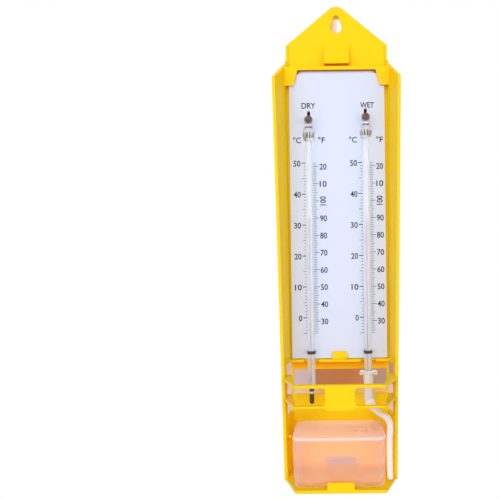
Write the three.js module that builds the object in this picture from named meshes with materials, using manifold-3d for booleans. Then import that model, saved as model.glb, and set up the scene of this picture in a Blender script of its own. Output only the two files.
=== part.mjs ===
import * as THREE from 'three';
import Module from 'manifold-3d';
import { mergeVertices } from 'three/addons/utils/BufferGeometryUtils.js';

const wasm = await Module();
wasm.setup();

// Wet and dry bulb hygrometer that hangs on a wall: a moulded tray holds a printed scale plate, two glass
// thermometers, a cotton wick and a lift-out water reservoir. Millimetres, Z up, the front faces -Y.
// The origin is the top of the hanging hole on the back plane. A depth is measured forward from that plane.

// Clearances and cuts
const fitGap = 0.3;
const cutOverrun = 1;

// Case: hanger
const hangerHalfWidth = 33.1;
const hangerRise = 5.8;
const hangerApexRadius = 7;
const hangerSlopeDegrees = 39.65;
const hangerSideHeight = 9.81;
const hangerRimWidth = 1.6;
const hangerRimHeight = 0.8;
const holeTopRadius = 1.8;
const holeFootRadius = 3.7;
const holeCentreSpacing = 6;

// Case: hood on the hanger
const hoodHalfWidth = 8.2;
const hoodHeight = 14.5;
const hoodProud = 6;
const hoodWall = 1.4;
const hoodMouthHeight = 2.2;
const hoodSillHeight = 2;

// Case: tray walls
const backThickness = 2.2;
const wallThickness = 2;
const wallDepth = 26.5;
const wallSpreadTop = 7;
const wallSpreadFoot = 2.1;
const wallTopDrop = 15.8;
const wallSections = 6;

// Case: platform and the lips that hold the scale plate
const platformSetback = 5.5;
const platformDepth = 7;
const lipHeight = 2.5;
const lipThickness = 1.5;
const cornerTabDrop = 10;
const cornerTabInset = 6.1;
const cornerTabFootInset = 3.7;
const cornerTabRadius = 1.5;
const ledgeHeight = 1.9;
const ledgeLip = 2.1;
const notchHalfWidth = 4.75;
const centreTabHalfWidth = 4.7;
const centreTabHeight = 4.9;
const centreTabRadius = 1.5;

// Case: bulb chamber and guard
const chamberTopGap = 6;
const windowHeight = 16.4;
const windowSideMargin = 0.6;
const windowRadius = 1;
const upperBarDrop = 0.9;
const upperBarThickness = 1.9;
const lowerBarThickness = 1.4;
const barSpacing = 10.5;
const guardDepth = 50;
const guardFrontHalfWidth = 27;
const guardBarDepth = 3.5;
const guardInset = 1;
const guardArmBackDepth = 15;
const guardInnerHalfWidthBack = 30.8;
const guardInnerHalfWidthFront = 26.6;
const webHalfWidth = 8.8;
const webFillet = 2;
const webTongue = 1.6;
const slotFrontDepth = 19.5;
const slotBackInset = 1;
const slotBelowGuard = 12.4;

// Case: reservoir pocket
const pocketHeight = 48.3;
const floorThickness = 2;
const retainerHalfWidth = 8.2;
const retainerHeight = 4.4;
const retainerRadius = 1.4;
const coreWindowHalfWidth = 10.2;
const coreWindowHeight = 5;
const sideRibHeight = 25.6;
const sideRibThickness = 1.5;
const sideRibProud = 2.5;
const sideRibBack = 9;
const sideRibLength = 15;

// Scale plate
const plateHeight = 187.2;
const plateThickness = 1.5;
const plateTuck = 1.4;
const plateCornerRadius = 2;

// Thermometers
const thermometerInset = 12.5;
const stemRadius = 2.4;
const dryRingDrop = 33.8;
const wetRingRaise = 1.4;
const ringThickness = 4;
const ringHoleRadius = 1;
const slotEndRaise = 6.5;
const slotFootRaise = 2.6;
const swellSlotHalfWidth = 1.6;
const bulgeRadius = 3.95;
const bulgeDrop = 6.2;
const bulgeLength = 6.1;
const neckBlend = 1.6;
const bulbTipBelowLowerBar = 6;
const bulbLength = 10;
const bulbRadius = 1.5;
const bulbShoulder = 2.4;
const boreRadius = 0.6;
const bulbWall = 0.35;
const mercuryDrop = 96.5;

// Ring screws and washers
const washerRadius = 2.6;
const washerThickness = 0.5;
const washerDish = 0.35;
const screwShankRadius = 0.7;
const screwHeadRadius = 1.45;
const screwHeadHeight = 1;
const screwEndDepth = 3.4;
const screwSlotWidth = 0.45;
const screwSlotDepth = 0.4;

// Stem bands
const bandThickness = 0.4;
const bandHeight = 2;
const bandAboveLedge = 3.7;
const bandEndDepth = 4;

// Reservoir and lid
const reservoirLeftGap = 2.3;
const reservoirRightGap = 4.1;
const reservoirBackGap = 4.6;
const reservoirFrontGap = 1.7;
const reservoirHeight = 30.1;
const reservoirBackRadius = 8;
const reservoirFrontRadius = 4;
const reservoirWall = 1;
const reservoirDraft = 0.5;
const reservoirFootRadius = 2;
const lidThickness = 1.2;
const lidOverhang = 0.3;
const lidSkirtHeight = 2.1;
const lidSkirtThickness = 0.9;
const lidEdgeRadius = 0.6;
const wickHoleRadius = 2.95;
const wickHoleX = 12.5;
const wickHoleDepth = 32;
const wickCollarWall = 1.2;
const wickCollarHeight = 0.8;

// Wick
const sleeveRadius = 3.25;
const sleeveAboveUpperBar = 1.6;
const sleeveBelowTip = 1.4;
const sleeveEndBlend = 2.6;
const tieRadius = 0.4;
const tieBelowTop = 1.6;
const tieWingReach = 1.5;
const tieWingThickness = 0.7;
const tieWingHeight = 1.1;
const tailRadius = 1.7;

// Facets
const roundSides = 16;
const smallSides = 12;
const cornerSteps = 6;
const tailSides = 8;
const tailSteps = 26;

// Colours and finishes seen on the instrument
const moulding = { color: 0xfdc81e, roughness: 0.42, metalness: 0 };
const plateWhite = { color: 0xe9edf8, roughness: 0.35, metalness: 0 };
const clearGlass = { color: 0xdfe6e8, roughness: 0.05, metalness: 0, transparent: true, opacity: 0.45 };
const quicksilver = { color: 0x8e9094, roughness: 0.12, metalness: 1 };
const brownedBrass = { color: 0x8a5a34, roughness: 0.35, metalness: 1 };
const greyedSteel = { color: 0x85868c, roughness: 0.4, metalness: 1 };
const darkBand = { color: 0x3a2622, roughness: 0.5, metalness: 0 };
const clearTub = { color: 0xf3d5c4, roughness: 0.3, metalness: 0, transparent: true, opacity: 0.6 };
const cotton = { color: 0xf6efe9, roughness: 0.95, metalness: 0 };

// Heights, from the origin down
const slopeAngle = THREE.MathUtils.degToRad(hangerSlopeDegrees);
const apexCentreZ = hangerRise - hangerApexRadius;
const apexTangentX = hangerApexRadius * Math.sin(slopeAngle);
const apexTangentZ = apexCentreZ + hangerApexRadius * Math.cos(slopeAngle);
const shoulderZ = apexTangentZ - (hangerHalfWidth - apexTangentX) * Math.tan(slopeAngle);
const trayTopZ = shoulderZ - hangerSideHeight;
const wallTopZ = trayTopZ - wallTopDrop;
const platformTopZ = trayTopZ - platformSetback;
const lipFootZ = platformTopZ - lipHeight;
const plateTopZ = lipFootZ + plateTuck;
const plateFootZ = plateTopZ - plateHeight;
const ledgeTopZ = plateFootZ - fitGap;
const platformFootZ = ledgeTopZ - ledgeHeight;
const windowTopZ = platformFootZ - chamberTopGap;
const windowFootZ = windowTopZ - windowHeight;
const upperBarTopZ = windowTopZ - upperBarDrop;
const upperBarFootZ = upperBarTopZ - upperBarThickness;
const lowerBarTopZ = upperBarFootZ - barSpacing;
const lowerBarFootZ = lowerBarTopZ - lowerBarThickness;
const floorTopZ = lowerBarFootZ - pocketHeight;
const caseFootZ = floorTopZ - floorThickness;

// Depths, from the back plane forward
const plateBackDepth = platformDepth + fitGap;
const plateFrontDepth = plateBackDepth + plateThickness;
const lipBackDepth = plateFrontDepth + fitGap;
const lipFrontDepth = lipBackDepth + lipThickness;
const stemDepth = plateFrontDepth + fitGap + stemRadius;

// Widths
const innerHalfWidth = hangerHalfWidth - wallThickness;
const plateHalfWidth = innerHalfWidth - fitGap;
const thermometerX = plateHalfWidth - thermometerInset;
const embed = wallThickness / 2;

// The front rim of the side walls draws in evenly from the top of the walls to the foot of the case.
function rimHalfWidth(z) {
  const share = (wallTopZ - z) / (wallTopZ - caseFootZ);
  return hangerHalfWidth + THREE.MathUtils.lerp(wallSpreadTop, wallSpreadFoot, share);
}

// Solids: closed geometry becomes a manifold solid, and comes back as a geometry for the mesh.
function solidOf(geometry) {
  geometry.deleteAttribute('normal');
  geometry.deleteAttribute('uv');
  const merged = mergeVertices(geometry);
  return new wasm.Manifold(new wasm.Mesh({
    numProp: merged.attributes.position.itemSize,
    vertProperties: new Float32Array(merged.attributes.position.array),
    triVerts: new Uint32Array(merged.index.array),
  }));
}

function geometryOf(solid) {
  const mesh = solid.getMesh();
  const geometry = new THREE.BufferGeometry();
  geometry.setAttribute('position', new THREE.BufferAttribute(mesh.vertProperties, mesh.numProp));
  geometry.setIndex(new THREE.BufferAttribute(mesh.triVerts, 1));
  geometry.computeVertexNormals();
  return geometry;
}

const join = (solids) => solids.reduce((whole, solid) => whole.add(solid));
const cut = (solid, cutters) => cutters.reduce((left, cutter) => left.subtract(cutter), solid);

// A shape drawn in width and height, pushed forward from one depth to another.
function frontPrism(shape, backDepth, frontDepth) {
  const settings = { depth: frontDepth - backDepth, bevelEnabled: false, curveSegments: cornerSteps };
  const geometry = new THREE.ExtrudeGeometry(shape, settings);
  geometry.rotateX(Math.PI / 2);
  geometry.translate(0, -backDepth, 0);
  return solidOf(geometry);
}

// An outline of width and depth pairs, raised from one height to another.
function planPrism(outline, footZ, topZ) {
  const shape = new THREE.Shape(outline.map(([x, depth]) => new THREE.Vector2(x, -depth)));
  const geometry = new THREE.ExtrudeGeometry(shape, { depth: topZ - footZ, bevelEnabled: false });
  geometry.translate(0, 0, footZ);
  return solidOf(geometry);
}

// An outline of depth and height pairs, drawn across the case from one width to another.
function sidePrism(outline, leftX, rightX) {
  const shape = new THREE.Shape(outline.map(([depth, z]) => new THREE.Vector2(-depth, z)));
  const geometry = new THREE.ExtrudeGeometry(shape, { depth: rightX - leftX, bevelEnabled: false });
  geometry.rotateX(Math.PI / 2);
  geometry.rotateZ(Math.PI / 2);
  geometry.translate(leftX, 0, 0);
  return solidOf(geometry);
}

function block(leftX, rightX, backDepth, frontDepth, footZ, topZ) {
  const geometry = new THREE.BoxGeometry(rightX - leftX, frontDepth - backDepth, topZ - footZ);
  geometry.translate((leftX + rightX) / 2, -(backDepth + frontDepth) / 2, (footZ + topZ) / 2);
  return solidOf(geometry);
}

// A round pin or hole whose axis runs from back to front.
function frontCylinder(x, z, radius, backDepth, frontDepth) {
  const geometry = new THREE.CylinderGeometry(radius, radius, frontDepth - backDepth, smallSides);
  geometry.translate(x, -(backDepth + frontDepth) / 2, z);
  return solidOf(geometry);
}

// A profile of radius and height pairs turned round an upright axis.
function turned(profile, x, depth, sides) {
  const points = profile.map(([radius, z]) => new THREE.Vector2(radius, z));
  const geometry = new THREE.LatheGeometry(points, sides);
  geometry.rotateX(Math.PI / 2);
  geometry.translate(x, -depth, 0);
  return solidOf(geometry);
}

// Rings of points, from the lowest to the highest and counter-clockwise from above, skinned and capped.
function lofted(rings) {
  const count = rings[0].length;
  const corners = rings.flat();
  const faces = [];
  for (let level = 0; level + 1 < rings.length; level += 1) {
    for (let i = 0; i < count; i += 1) {
      const low = level * count;
      const next = (i + 1) % count;
      faces.push(low + i, low + next, low + count + next);
      faces.push(low + i, low + count + next, low + count + i);
    }
  }
  const flat = rings[0].map((corner) => new THREE.Vector2(corner.x, corner.y));
  const top = corners.length - count;
  for (const [a, b, c] of THREE.ShapeUtils.triangulateShape(flat, [])) {
    faces.push(a, c, b);
    faces.push(top + a, top + b, top + c);
  }
  const geometry = new THREE.BufferGeometry().setFromPoints(corners);
  geometry.setIndex(faces);
  return solidOf(geometry);
}

// A rectangle in width and height with its top or foot corners rounded.
function roundedPanel(halfWidth, footZ, topZ, topRadius, footRadius) {
  const shape = new THREE.Shape();
  shape.moveTo(-halfWidth + footRadius, footZ);
  shape.lineTo(halfWidth - footRadius, footZ);
  if (footRadius > 0) {
    shape.absarc(halfWidth - footRadius, footZ + footRadius, footRadius, -Math.PI / 2, 0);
  }
  shape.lineTo(halfWidth, topZ - topRadius);
  if (topRadius > 0) {
    shape.absarc(halfWidth - topRadius, topZ - topRadius, topRadius, 0, Math.PI / 2);
    shape.absarc(-halfWidth + topRadius, topZ - topRadius, topRadius, Math.PI / 2, Math.PI);
  } else {
    shape.lineTo(-halfWidth, topZ);
  }
  if (footRadius > 0) {
    shape.absarc(-halfWidth + footRadius, footZ + footRadius, footRadius, Math.PI, Math.PI * 3 / 2);
  } else {
    shape.lineTo(-halfWidth, footZ);
  }
  return shape;
}

// Hanger: a gabled plate with a rounded apex and a teardrop hole that drops over a screw head.
function hanger() {
  const shape = new THREE.Shape();
  const arcStart = Math.PI / 2 - slopeAngle;
  shape.moveTo(hangerHalfWidth, trayTopZ);
  shape.lineTo(hangerHalfWidth, shoulderZ);
  shape.absarc(0, apexCentreZ, hangerApexRadius, arcStart, Math.PI - arcStart);
  shape.lineTo(-hangerHalfWidth, shoulderZ);
  shape.lineTo(-hangerHalfWidth, trayTopZ);
  const lean = Math.asin((holeFootRadius - holeTopRadius) / holeCentreSpacing);
  const hole = new THREE.Path();
  hole.absarc(0, -holeTopRadius, holeTopRadius, lean, Math.PI - lean);
  hole.absarc(0, -holeTopRadius - holeCentreSpacing, holeFootRadius, Math.PI - lean, Math.PI * 2 + lean);
  shape.holes.push(hole);
  return frontPrism(shape, 0, backThickness);
}

function hangerRims() {
  const front = backThickness + hangerRimHeight;
  const inner = hangerHalfWidth - hangerRimWidth;
  const footZ = trayTopZ - embed;
  return [
    block(inner, hangerHalfWidth, 0, front, footZ, shoulderZ),
    block(-hangerHalfWidth, -inner, 0, front, footZ, shoulderZ),
  ];
}

// Tray: the back and the two splayed side walls are one channel section, lofted from foot to top.
function tray() {
  const rings = [];
  for (let i = 0; i <= wallSections; i += 1) {
    const z = THREE.MathUtils.lerp(caseFootZ, trayTopZ, i / wallSections);
    const rim = rimHalfWidth(z);
    const outline = [
      [-hangerHalfWidth, 0],
      [-rim, wallDepth],
      [-rim + wallThickness, wallDepth],
      [-innerHalfWidth, backThickness],
      [innerHalfWidth, backThickness],
      [rim - wallThickness, wallDepth],
      [rim, wallDepth],
      [hangerHalfWidth, 0],
    ];
    rings.push(outline.map(([x, depth]) => new THREE.Vector3(x, -depth, z)));
  }
  const slope = wallTopDrop / wallDepth;
  const reach = wallDepth + cutOverrun;
  const aboveSlope = [
    [backThickness, trayTopZ + cutOverrun],
    [backThickness, trayTopZ - backThickness * slope],
    [reach, trayTopZ - reach * slope],
    [reach, trayTopZ + cutOverrun],
  ];
  const side = hangerHalfWidth + wallSpreadTop * 2;
  return cut(lofted(rings), [sidePrism(aboveSlope, -side, side)]);
}

// Platform that carries the scale plate, with the lip, corner tabs, ledge and centre tab that hold it.
function platform() {
  const side = hangerHalfWidth - embed / 2;
  const lipSide = hangerHalfWidth + embed;
  const ledgeDepth = plateFrontDepth + ledgeLip;
  const pieces = [
    block(-side, side, 0, platformDepth, platformFootZ, platformTopZ),
    block(-lipSide, lipSide, platformDepth - embed, lipFrontDepth, lipFootZ, platformTopZ),
    block(-hangerHalfWidth, hangerHalfWidth, platformDepth - embed, ledgeDepth, platformFootZ, ledgeTopZ),
  ];
  for (const hand of [-1, 1]) {
    const tab = new THREE.Shape();
    const tabFootZ = lipFootZ - cornerTabDrop;
    const topX = innerHalfWidth - cornerTabInset;
    const footX = innerHalfWidth - cornerTabFootInset;
    tab.moveTo(hand * topX, lipFootZ + embed);
    tab.lineTo(hand * topX, lipFootZ);
    tab.lineTo(hand * footX, tabFootZ + cornerTabRadius);
    tab.quadraticCurveTo(hand * footX, tabFootZ, hand * (footX + cornerTabRadius), tabFootZ);
    tab.lineTo(hand * (hangerHalfWidth + embed), tabFootZ);
    tab.lineTo(hand * (hangerHalfWidth + embed), lipFootZ + embed);
    pieces.push(frontPrism(tab, lipBackDepth, lipFrontDepth));
  }
  const tabTopZ = ledgeTopZ + centreTabHeight;
  const centreTab = roundedPanel(centreTabHalfWidth, platformFootZ, tabTopZ, centreTabRadius, 0);
  pieces.push(frontPrism(centreTab, lipBackDepth, lipFrontDepth));
  return join(pieces);
}

// The openings that the plate, the screws, the stems and the mould cores leave in the platform.
function platformCuts() {
  const groove = plateTopZ + fitGap;
  const cuts = [
    block(-innerHalfWidth, innerHalfWidth, -cutOverrun, platformDepth - wallThickness,
      platformFootZ + wallThickness, platformTopZ - wallThickness),
    block(-innerHalfWidth, innerHalfWidth, platformDepth, lipBackDepth, ledgeTopZ, groove),
  ];
  for (const thermometer of thermometers) {
    const { x, ringZ } = thermometer;
    cuts.push(block(x - notchHalfWidth, x + notchHalfWidth, platformDepth, guardDepth,
      platformFootZ - cutOverrun, ledgeTopZ + cutOverrun));
    cuts.push(frontCylinder(x, ringZ, ringHoleRadius, 0, platformDepth + cutOverrun));
    cuts.push(...ringSlots(thermometer, 0, platformDepth + cutOverrun));
    cuts.push(...bandSlots(x, 0, platformDepth + cutOverrun));
  }
  return cuts;
}

// Hood: a hollow wedge over the hanger face, open at the back above a sill and open below in a mouth.
function hood() {
  const footZ = platformTopZ + hoodMouthHeight;
  const topZ = footZ + hoodHeight;
  const frontDepth = backThickness + hoodProud;
  return sidePrism([
    [0, topZ],
    [backThickness, topZ],
    [frontDepth, footZ],
    [0, footZ],
  ], -hoodHalfWidth, hoodHalfWidth);
}

function hoodCuts() {
  const rise = hoodHeight / hoodProud;
  const mouthZ = platformTopZ + hoodMouthHeight;
  const topZ = mouthZ + hoodHeight - hoodWall * rise;
  const inner = hoodHalfWidth - hoodWall;
  const sillZ = mouthZ + hoodSillHeight;
  const front = backThickness + hoodProud - hoodWall;
  const hollow = [
    [-cutOverrun, topZ],
    [backThickness, topZ],
    [front, mouthZ],
    [front, mouthZ - hoodMouthHeight / 2],
    [backThickness, mouthZ - hoodMouthHeight / 2],
    [backThickness, sillZ],
    [-cutOverrun, sillZ],
  ];
  return [sidePrism(hollow, -inner, inner)];
}

// Guard: two level bars tied by a web. Their arms cross the side slots and run round the front of the bulbs.
function guardBar(footZ, topZ) {
  const rim = rimHalfWidth(topZ) - guardInset;
  const armBack = THREE.MathUtils.lerp(hangerHalfWidth - guardInset, rim, guardArmBackDepth / wallDepth);
  const outer = [
    [-armBack, guardArmBackDepth],
    [-rim, wallDepth],
    [-guardFrontHalfWidth, guardDepth],
    [guardFrontHalfWidth, guardDepth],
    [rim, wallDepth],
    [armBack, guardArmBackDepth],
  ];
  const inner = [
    [-guardInnerHalfWidthBack, guardArmBackDepth - cutOverrun],
    [-guardInnerHalfWidthFront, guardDepth - guardBarDepth],
    [guardInnerHalfWidthFront, guardDepth - guardBarDepth],
    [guardInnerHalfWidthBack, guardArmBackDepth - cutOverrun],
  ];
  return cut(planPrism(outer, footZ, topZ), [planPrism(inner, footZ - cutOverrun, topZ + cutOverrun)]);
}

function guardWeb() {
  const shape = new THREE.Shape();
  const wide = webHalfWidth + webFillet;
  const footZ = lowerBarFootZ - webTongue;
  shape.moveTo(-webHalfWidth + webTongue, footZ);
  shape.lineTo(webHalfWidth - webTongue, footZ);
  shape.absarc(webHalfWidth - webTongue, lowerBarFootZ, webTongue, -Math.PI / 2, 0);
  shape.lineTo(webHalfWidth, lowerBarFootZ + embed);
  shape.lineTo(wide, lowerBarFootZ + embed);
  shape.lineTo(wide, lowerBarTopZ);
  shape.absarc(wide, lowerBarTopZ + webFillet, webFillet, -Math.PI / 2, -Math.PI, true);
  shape.absarc(wide, upperBarFootZ - webFillet, webFillet, Math.PI, Math.PI / 2, true);
  shape.lineTo(wide, upperBarTopZ - embed);
  shape.lineTo(-wide, upperBarTopZ - embed);
  shape.lineTo(-wide, upperBarFootZ);
  shape.absarc(-wide, upperBarFootZ - webFillet, webFillet, Math.PI / 2, 0, true);
  shape.absarc(-wide, lowerBarTopZ + webFillet, webFillet, 0, -Math.PI / 2, true);
  shape.lineTo(-wide, lowerBarFootZ + embed);
  shape.lineTo(-webHalfWidth, lowerBarFootZ + embed);
  shape.absarc(-webHalfWidth + webTongue, lowerBarFootZ, webTongue, Math.PI, Math.PI * 3 / 2);
  return frontPrism(shape, guardDepth - wallThickness, guardDepth);
}

// A window behind the bulbs and a tall slot in each side wall let the air through. The slots are open behind.
function chamberCuts() {
  const windowHalf = innerHalfWidth - windowSideMargin;
  const windowShape = roundedPanel(windowHalf, windowFootZ, windowTopZ, windowRadius, windowRadius);
  const near = innerHalfWidth - embed;
  const nearBack = innerHalfWidth + slotBackInset;
  const outer = hangerHalfWidth + wallSpreadTop;
  const slotFootZ = lowerBarFootZ - slotBelowGuard;
  return [
    frontPrism(windowShape, -cutOverrun, backThickness + cutOverrun),
    block(near, outer, backThickness, slotFrontDepth, slotFootZ, platformFootZ),
    block(-outer, -near, backThickness, slotFrontDepth, slotFootZ, platformFootZ),
    block(nearBack, outer, -cutOverrun, backThickness + embed, slotFootZ, platformFootZ),
    block(-outer, -nearBack, -cutOverrun, backThickness + embed, slotFootZ, platformFootZ),
  ];
}

// Pocket for the reservoir: floor, retaining tab and the side ribs that centre the tub.
function pocket() {
  const rim = rimHalfWidth(floorTopZ) - guardInset;
  const floorOutline = [
    [-hangerHalfWidth + embed, embed],
    [-rim, wallDepth],
    [-guardFrontHalfWidth, guardDepth],
    [guardFrontHalfWidth, guardDepth],
    [rim, wallDepth],
    [hangerHalfWidth - embed, embed],
  ];
  const tabTopZ = floorTopZ + retainerHeight;
  const tab = roundedPanel(retainerHalfWidth, caseFootZ + embed, tabTopZ, retainerRadius, 0);
  const pieces = [
    planPrism(floorOutline, caseFootZ, floorTopZ),
    frontPrism(tab, guardDepth - wallThickness, guardDepth),
  ];
  const ribZ = floorTopZ + sideRibHeight;
  const ribFront = sideRibBack + sideRibLength;
  const splay = (rimHalfWidth(ribZ) - hangerHalfWidth) / wallDepth;
  for (const hand of [-1, 1]) {
    const rib = [
      [hand * (innerHalfWidth + sideRibBack * splay + embed), sideRibBack],
      [hand * (innerHalfWidth + ribFront * splay + embed), ribFront],
      [hand * (innerHalfWidth + ribFront * splay - sideRibProud), ribFront],
      [hand * (innerHalfWidth + sideRibBack * splay - sideRibProud), sideRibBack],
    ];
    pieces.push(planPrism(rib, ribZ - sideRibThickness, ribZ));
  }
  return join(pieces);
}

function coreWindow() {
  const topZ = floorTopZ + coreWindowHeight;
  const front = backThickness + cutOverrun;
  return block(-coreWindowHalfWidth, coreWindowHalfWidth, -cutOverrun, front, floorTopZ, topZ);
}

function caseShell() {
  const body = join([
    hanger(),
    ...hangerRims(),
    tray(),
    platform(),
    hood(),
  ]);
  const chamber = cut(body, [...platformCuts(), ...hoodCuts(), ...chamberCuts()]);
  const whole = join([
    chamber,
    guardBar(upperBarFootZ, upperBarTopZ),
    guardBar(lowerBarFootZ, lowerBarTopZ),
    guardWeb(),
    pocket(),
  ]);
  return cut(whole, [coreWindow()]);
}

// The two thermometers differ only in side and in how high their rings sit.
const thermometers = [
  { name: 'dry', x: -thermometerX, ringZ: plateTopZ - dryRingDrop },
  { name: 'wet', x: thermometerX, ringZ: plateTopZ - dryRingDrop + wetRingRaise },
].map((thermometer) => ({
  ...thermometer,
  tipZ: lowerBarFootZ - bulbTipBelowLowerBar + (thermometer.ringZ - plateTopZ + dryRingDrop),
}));

// The swelling under the ring, as radius and height pairs, with a clearance where a recess is cut for it.
function swelling(ringZ, clearance) {
  const topZ = ringZ - bulgeDrop;
  const footZ = topZ - bulgeLength;
  const profile = [[stemRadius, footZ - neckBlend]];
  for (let i = 0; i <= cornerSteps; i += 1) {
    const swell = Math.sin(Math.PI * (i + 1) / (cornerSteps + 2));
    const radius = THREE.MathUtils.lerp(stemRadius, bulgeRadius, Math.sqrt(swell));
    profile.push([radius + clearance, THREE.MathUtils.lerp(footZ, topZ, i / cornerSteps)]);
  }
  profile.push([stemRadius, topZ + neckBlend]);
  return profile;
}

// Stem, bulb, swelling and pierced ring are one piece of glass with an open bore.
function thermometerGlass({ x, ringZ, tipZ }) {
  const bulbTopZ = tipZ + bulbLength;
  const stemFootZ = bulbTopZ + bulbShoulder;
  const outer = [[0, tipZ]];
  for (let i = 1; i <= cornerSteps / 2; i += 1) {
    const angle = Math.PI * i / cornerSteps;
    outer.push([bulbRadius * Math.sin(angle), tipZ + bulbRadius * (1 - Math.cos(angle))]);
  }
  outer.push(
    [bulbRadius, bulbTopZ],
    [stemRadius, stemFootZ],
    ...swelling(ringZ, 0),
    [stemRadius, ringZ],
    [0, ringZ],
  );
  const boreFootZ = bulbTopZ + bulbShoulder / 2;
  const hollowRadius = bulbRadius - bulbWall;
  const inner = [
    [0, tipZ + bulbWall],
    [hollowRadius * Math.SQRT1_2, tipZ + bulbWall + hollowRadius * (1 - Math.SQRT1_2)],
    [hollowRadius, tipZ + bulbWall + hollowRadius],
    [hollowRadius, bulbTopZ],
    [boreRadius, boreFootZ],
    [boreRadius, ringZ],
    [0, ringZ],
  ];
  const ringBack = stemDepth - ringThickness / 2;
  const ring = frontCylinder(x, ringZ, stemRadius, ringBack, ringBack + ringThickness);
  const ringHole = frontCylinder(x, ringZ, ringHoleRadius, 0, guardDepth);
  const glass = turned(outer, x, stemDepth, roundSides).add(ring);
  return cut(glass, [turned(inner, x, stemDepth, smallSides), ringHole]);
}

// Mercury fills the bulb and stands in the bore up to the temperature shown.
function mercury({ x, tipZ }) {
  const radius = bulbRadius - bulbWall - fitGap;
  const threadRadius = boreRadius - fitGap;
  const footZ = tipZ + bulbWall + fitGap;
  const bulbTopZ = tipZ + bulbLength - fitGap;
  const topZ = plateTopZ - mercuryDrop;
  return turned([
    [0, footZ],
    [radius * Math.SQRT1_2, footZ + radius * (1 - Math.SQRT1_2)],
    [radius, footZ + radius],
    [radius, bulbTopZ],
    [threadRadius, bulbTopZ + bulbShoulder / 2],
    [threadRadius, topZ],
    [0, topZ],
  ], x, stemDepth, smallSides);
}

// Screw and dished washer that clamp the glass ring to the platform.
const ringFrontDepth = stemDepth + ringThickness / 2;
const washerBackDepth = ringFrontDepth + fitGap;
const headBackDepth = washerBackDepth + washerThickness + washerDish + fitGap;

function turnedToFront(profile, x, z) {
  const points = profile.map(([radius, depth]) => new THREE.Vector2(radius, -depth));
  const geometry = new THREE.LatheGeometry(points, roundSides);
  geometry.translate(x, 0, z);
  return solidOf(geometry);
}

function ringWasher({ x, ringZ }) {
  const back = washerBackDepth;
  const hole = ringHoleRadius;
  return turnedToFront([
    [hole, back + washerDish],
    [hole, back + washerDish + washerThickness],
    [washerRadius, back + washerThickness],
    [washerRadius, back],
    [hole, back + washerDish],
  ], x, ringZ);
}

function ringScrew({ x, ringZ }) {
  const front = headBackDepth + screwHeadHeight;
  const crown = screwHeadHeight / 3;
  const screw = turnedToFront([
    [0, front],
    [screwHeadRadius * Math.SQRT1_2, front - crown / 2],
    [screwHeadRadius, front - crown * 2],
    [screwHeadRadius, headBackDepth],
    [screwShankRadius, headBackDepth],
    [screwShankRadius, screwEndDepth + screwShankRadius],
    [0, screwEndDepth],
  ], x, ringZ);
  const reach = screwHeadRadius + cutOverrun;
  const half = screwSlotWidth / 2;
  const slot = block(x - reach, x + reach, front - screwSlotDepth - crown / 2, front + cutOverrun,
    ringZ - half, ringZ + half);
  return screw.subtract(slot);
}

// Band: a flat staple that hugs the stem and reaches back through the plate and the platform.
const bandInnerRadius = stemRadius + fitGap;
const bandOuterRadius = bandInnerRadius + bandThickness;
const bandFootZ = ledgeTopZ + bandAboveLedge;

function stemBand({ x }) {
  const outline = [];
  for (let i = 0; i <= roundSides / 2; i += 1) {
    const angle = Math.PI * i / (roundSides / 2);
    outline.push([x + bandOuterRadius * Math.cos(angle), stemDepth + bandOuterRadius * Math.sin(angle)]);
  }
  outline.push([x - bandOuterRadius, bandEndDepth], [x - bandInnerRadius, bandEndDepth]);
  for (let i = roundSides / 2; i >= 0; i -= 1) {
    const angle = Math.PI * i / (roundSides / 2);
    outline.push([x + bandInnerRadius * Math.cos(angle), stemDepth + bandInnerRadius * Math.sin(angle)]);
  }
  outline.push([x + bandInnerRadius, bandEndDepth], [x + bandOuterRadius, bandEndDepth]);
  return planPrism(outline, bandFootZ, bandFootZ + bandHeight);
}

function bandSlots(x, backDepth, frontDepth) {
  return [-1, 1].map((hand) => {
    const ends = [x + hand * (bandInnerRadius - fitGap), x + hand * (bandOuterRadius + fitGap)];
    return block(Math.min(...ends), Math.max(...ends), backDepth, frontDepth,
      bandFootZ - fitGap, bandFootZ + bandHeight + fitGap);
  });
}

// A keyhole above the ring and a slot under the swelling go through the platform as through the plate.
function ringSlots({ x, ringZ }, backDepth, frontDepth) {
  const topZ = ringZ + slotEndRaise - ringHoleRadius;
  const swellTopZ = ringZ - bulgeDrop;
  const swellFootZ = swellTopZ - bulgeLength;
  return [
    frontCylinder(x, topZ, ringHoleRadius, backDepth, frontDepth),
    block(x - ringHoleRadius, x + ringHoleRadius, backDepth, frontDepth, ringZ + slotFootRaise, topZ),
    block(x - swellSlotHalfWidth, x + swellSlotHalfWidth, backDepth, frontDepth, swellFootZ, swellTopZ),
  ];
}

// Scale plate, let in for the screws, the swellings of the glass and the bands.
function scalePlate() {
  const panel = roundedPanel(plateHalfWidth, plateFootZ, plateTopZ, plateCornerRadius, 0);
  const back = plateBackDepth - cutOverrun;
  const front = plateFrontDepth + cutOverrun;
  const cuts = thermometers.flatMap((thermometer) => {
    const { x, ringZ } = thermometer;
    const recess = swelling(ringZ, fitGap);
    const [, recessFootZ] = recess[0];
    const [, recessTopZ] = recess[recess.length - 1];
    return [
      ...ringSlots(thermometer, back, front),
      block(x - ringHoleRadius, x + ringHoleRadius, back, front, ringZ - bulgeDrop, ringZ + slotFootRaise),
      turned([[0, recessFootZ], ...recess, [0, recessTopZ]], x, stemDepth, roundSides),
      ...bandSlots(x, back, front),
    ];
  });
  return cut(frontPrism(panel, plateBackDepth, plateFrontDepth), cuts);
}

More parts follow.
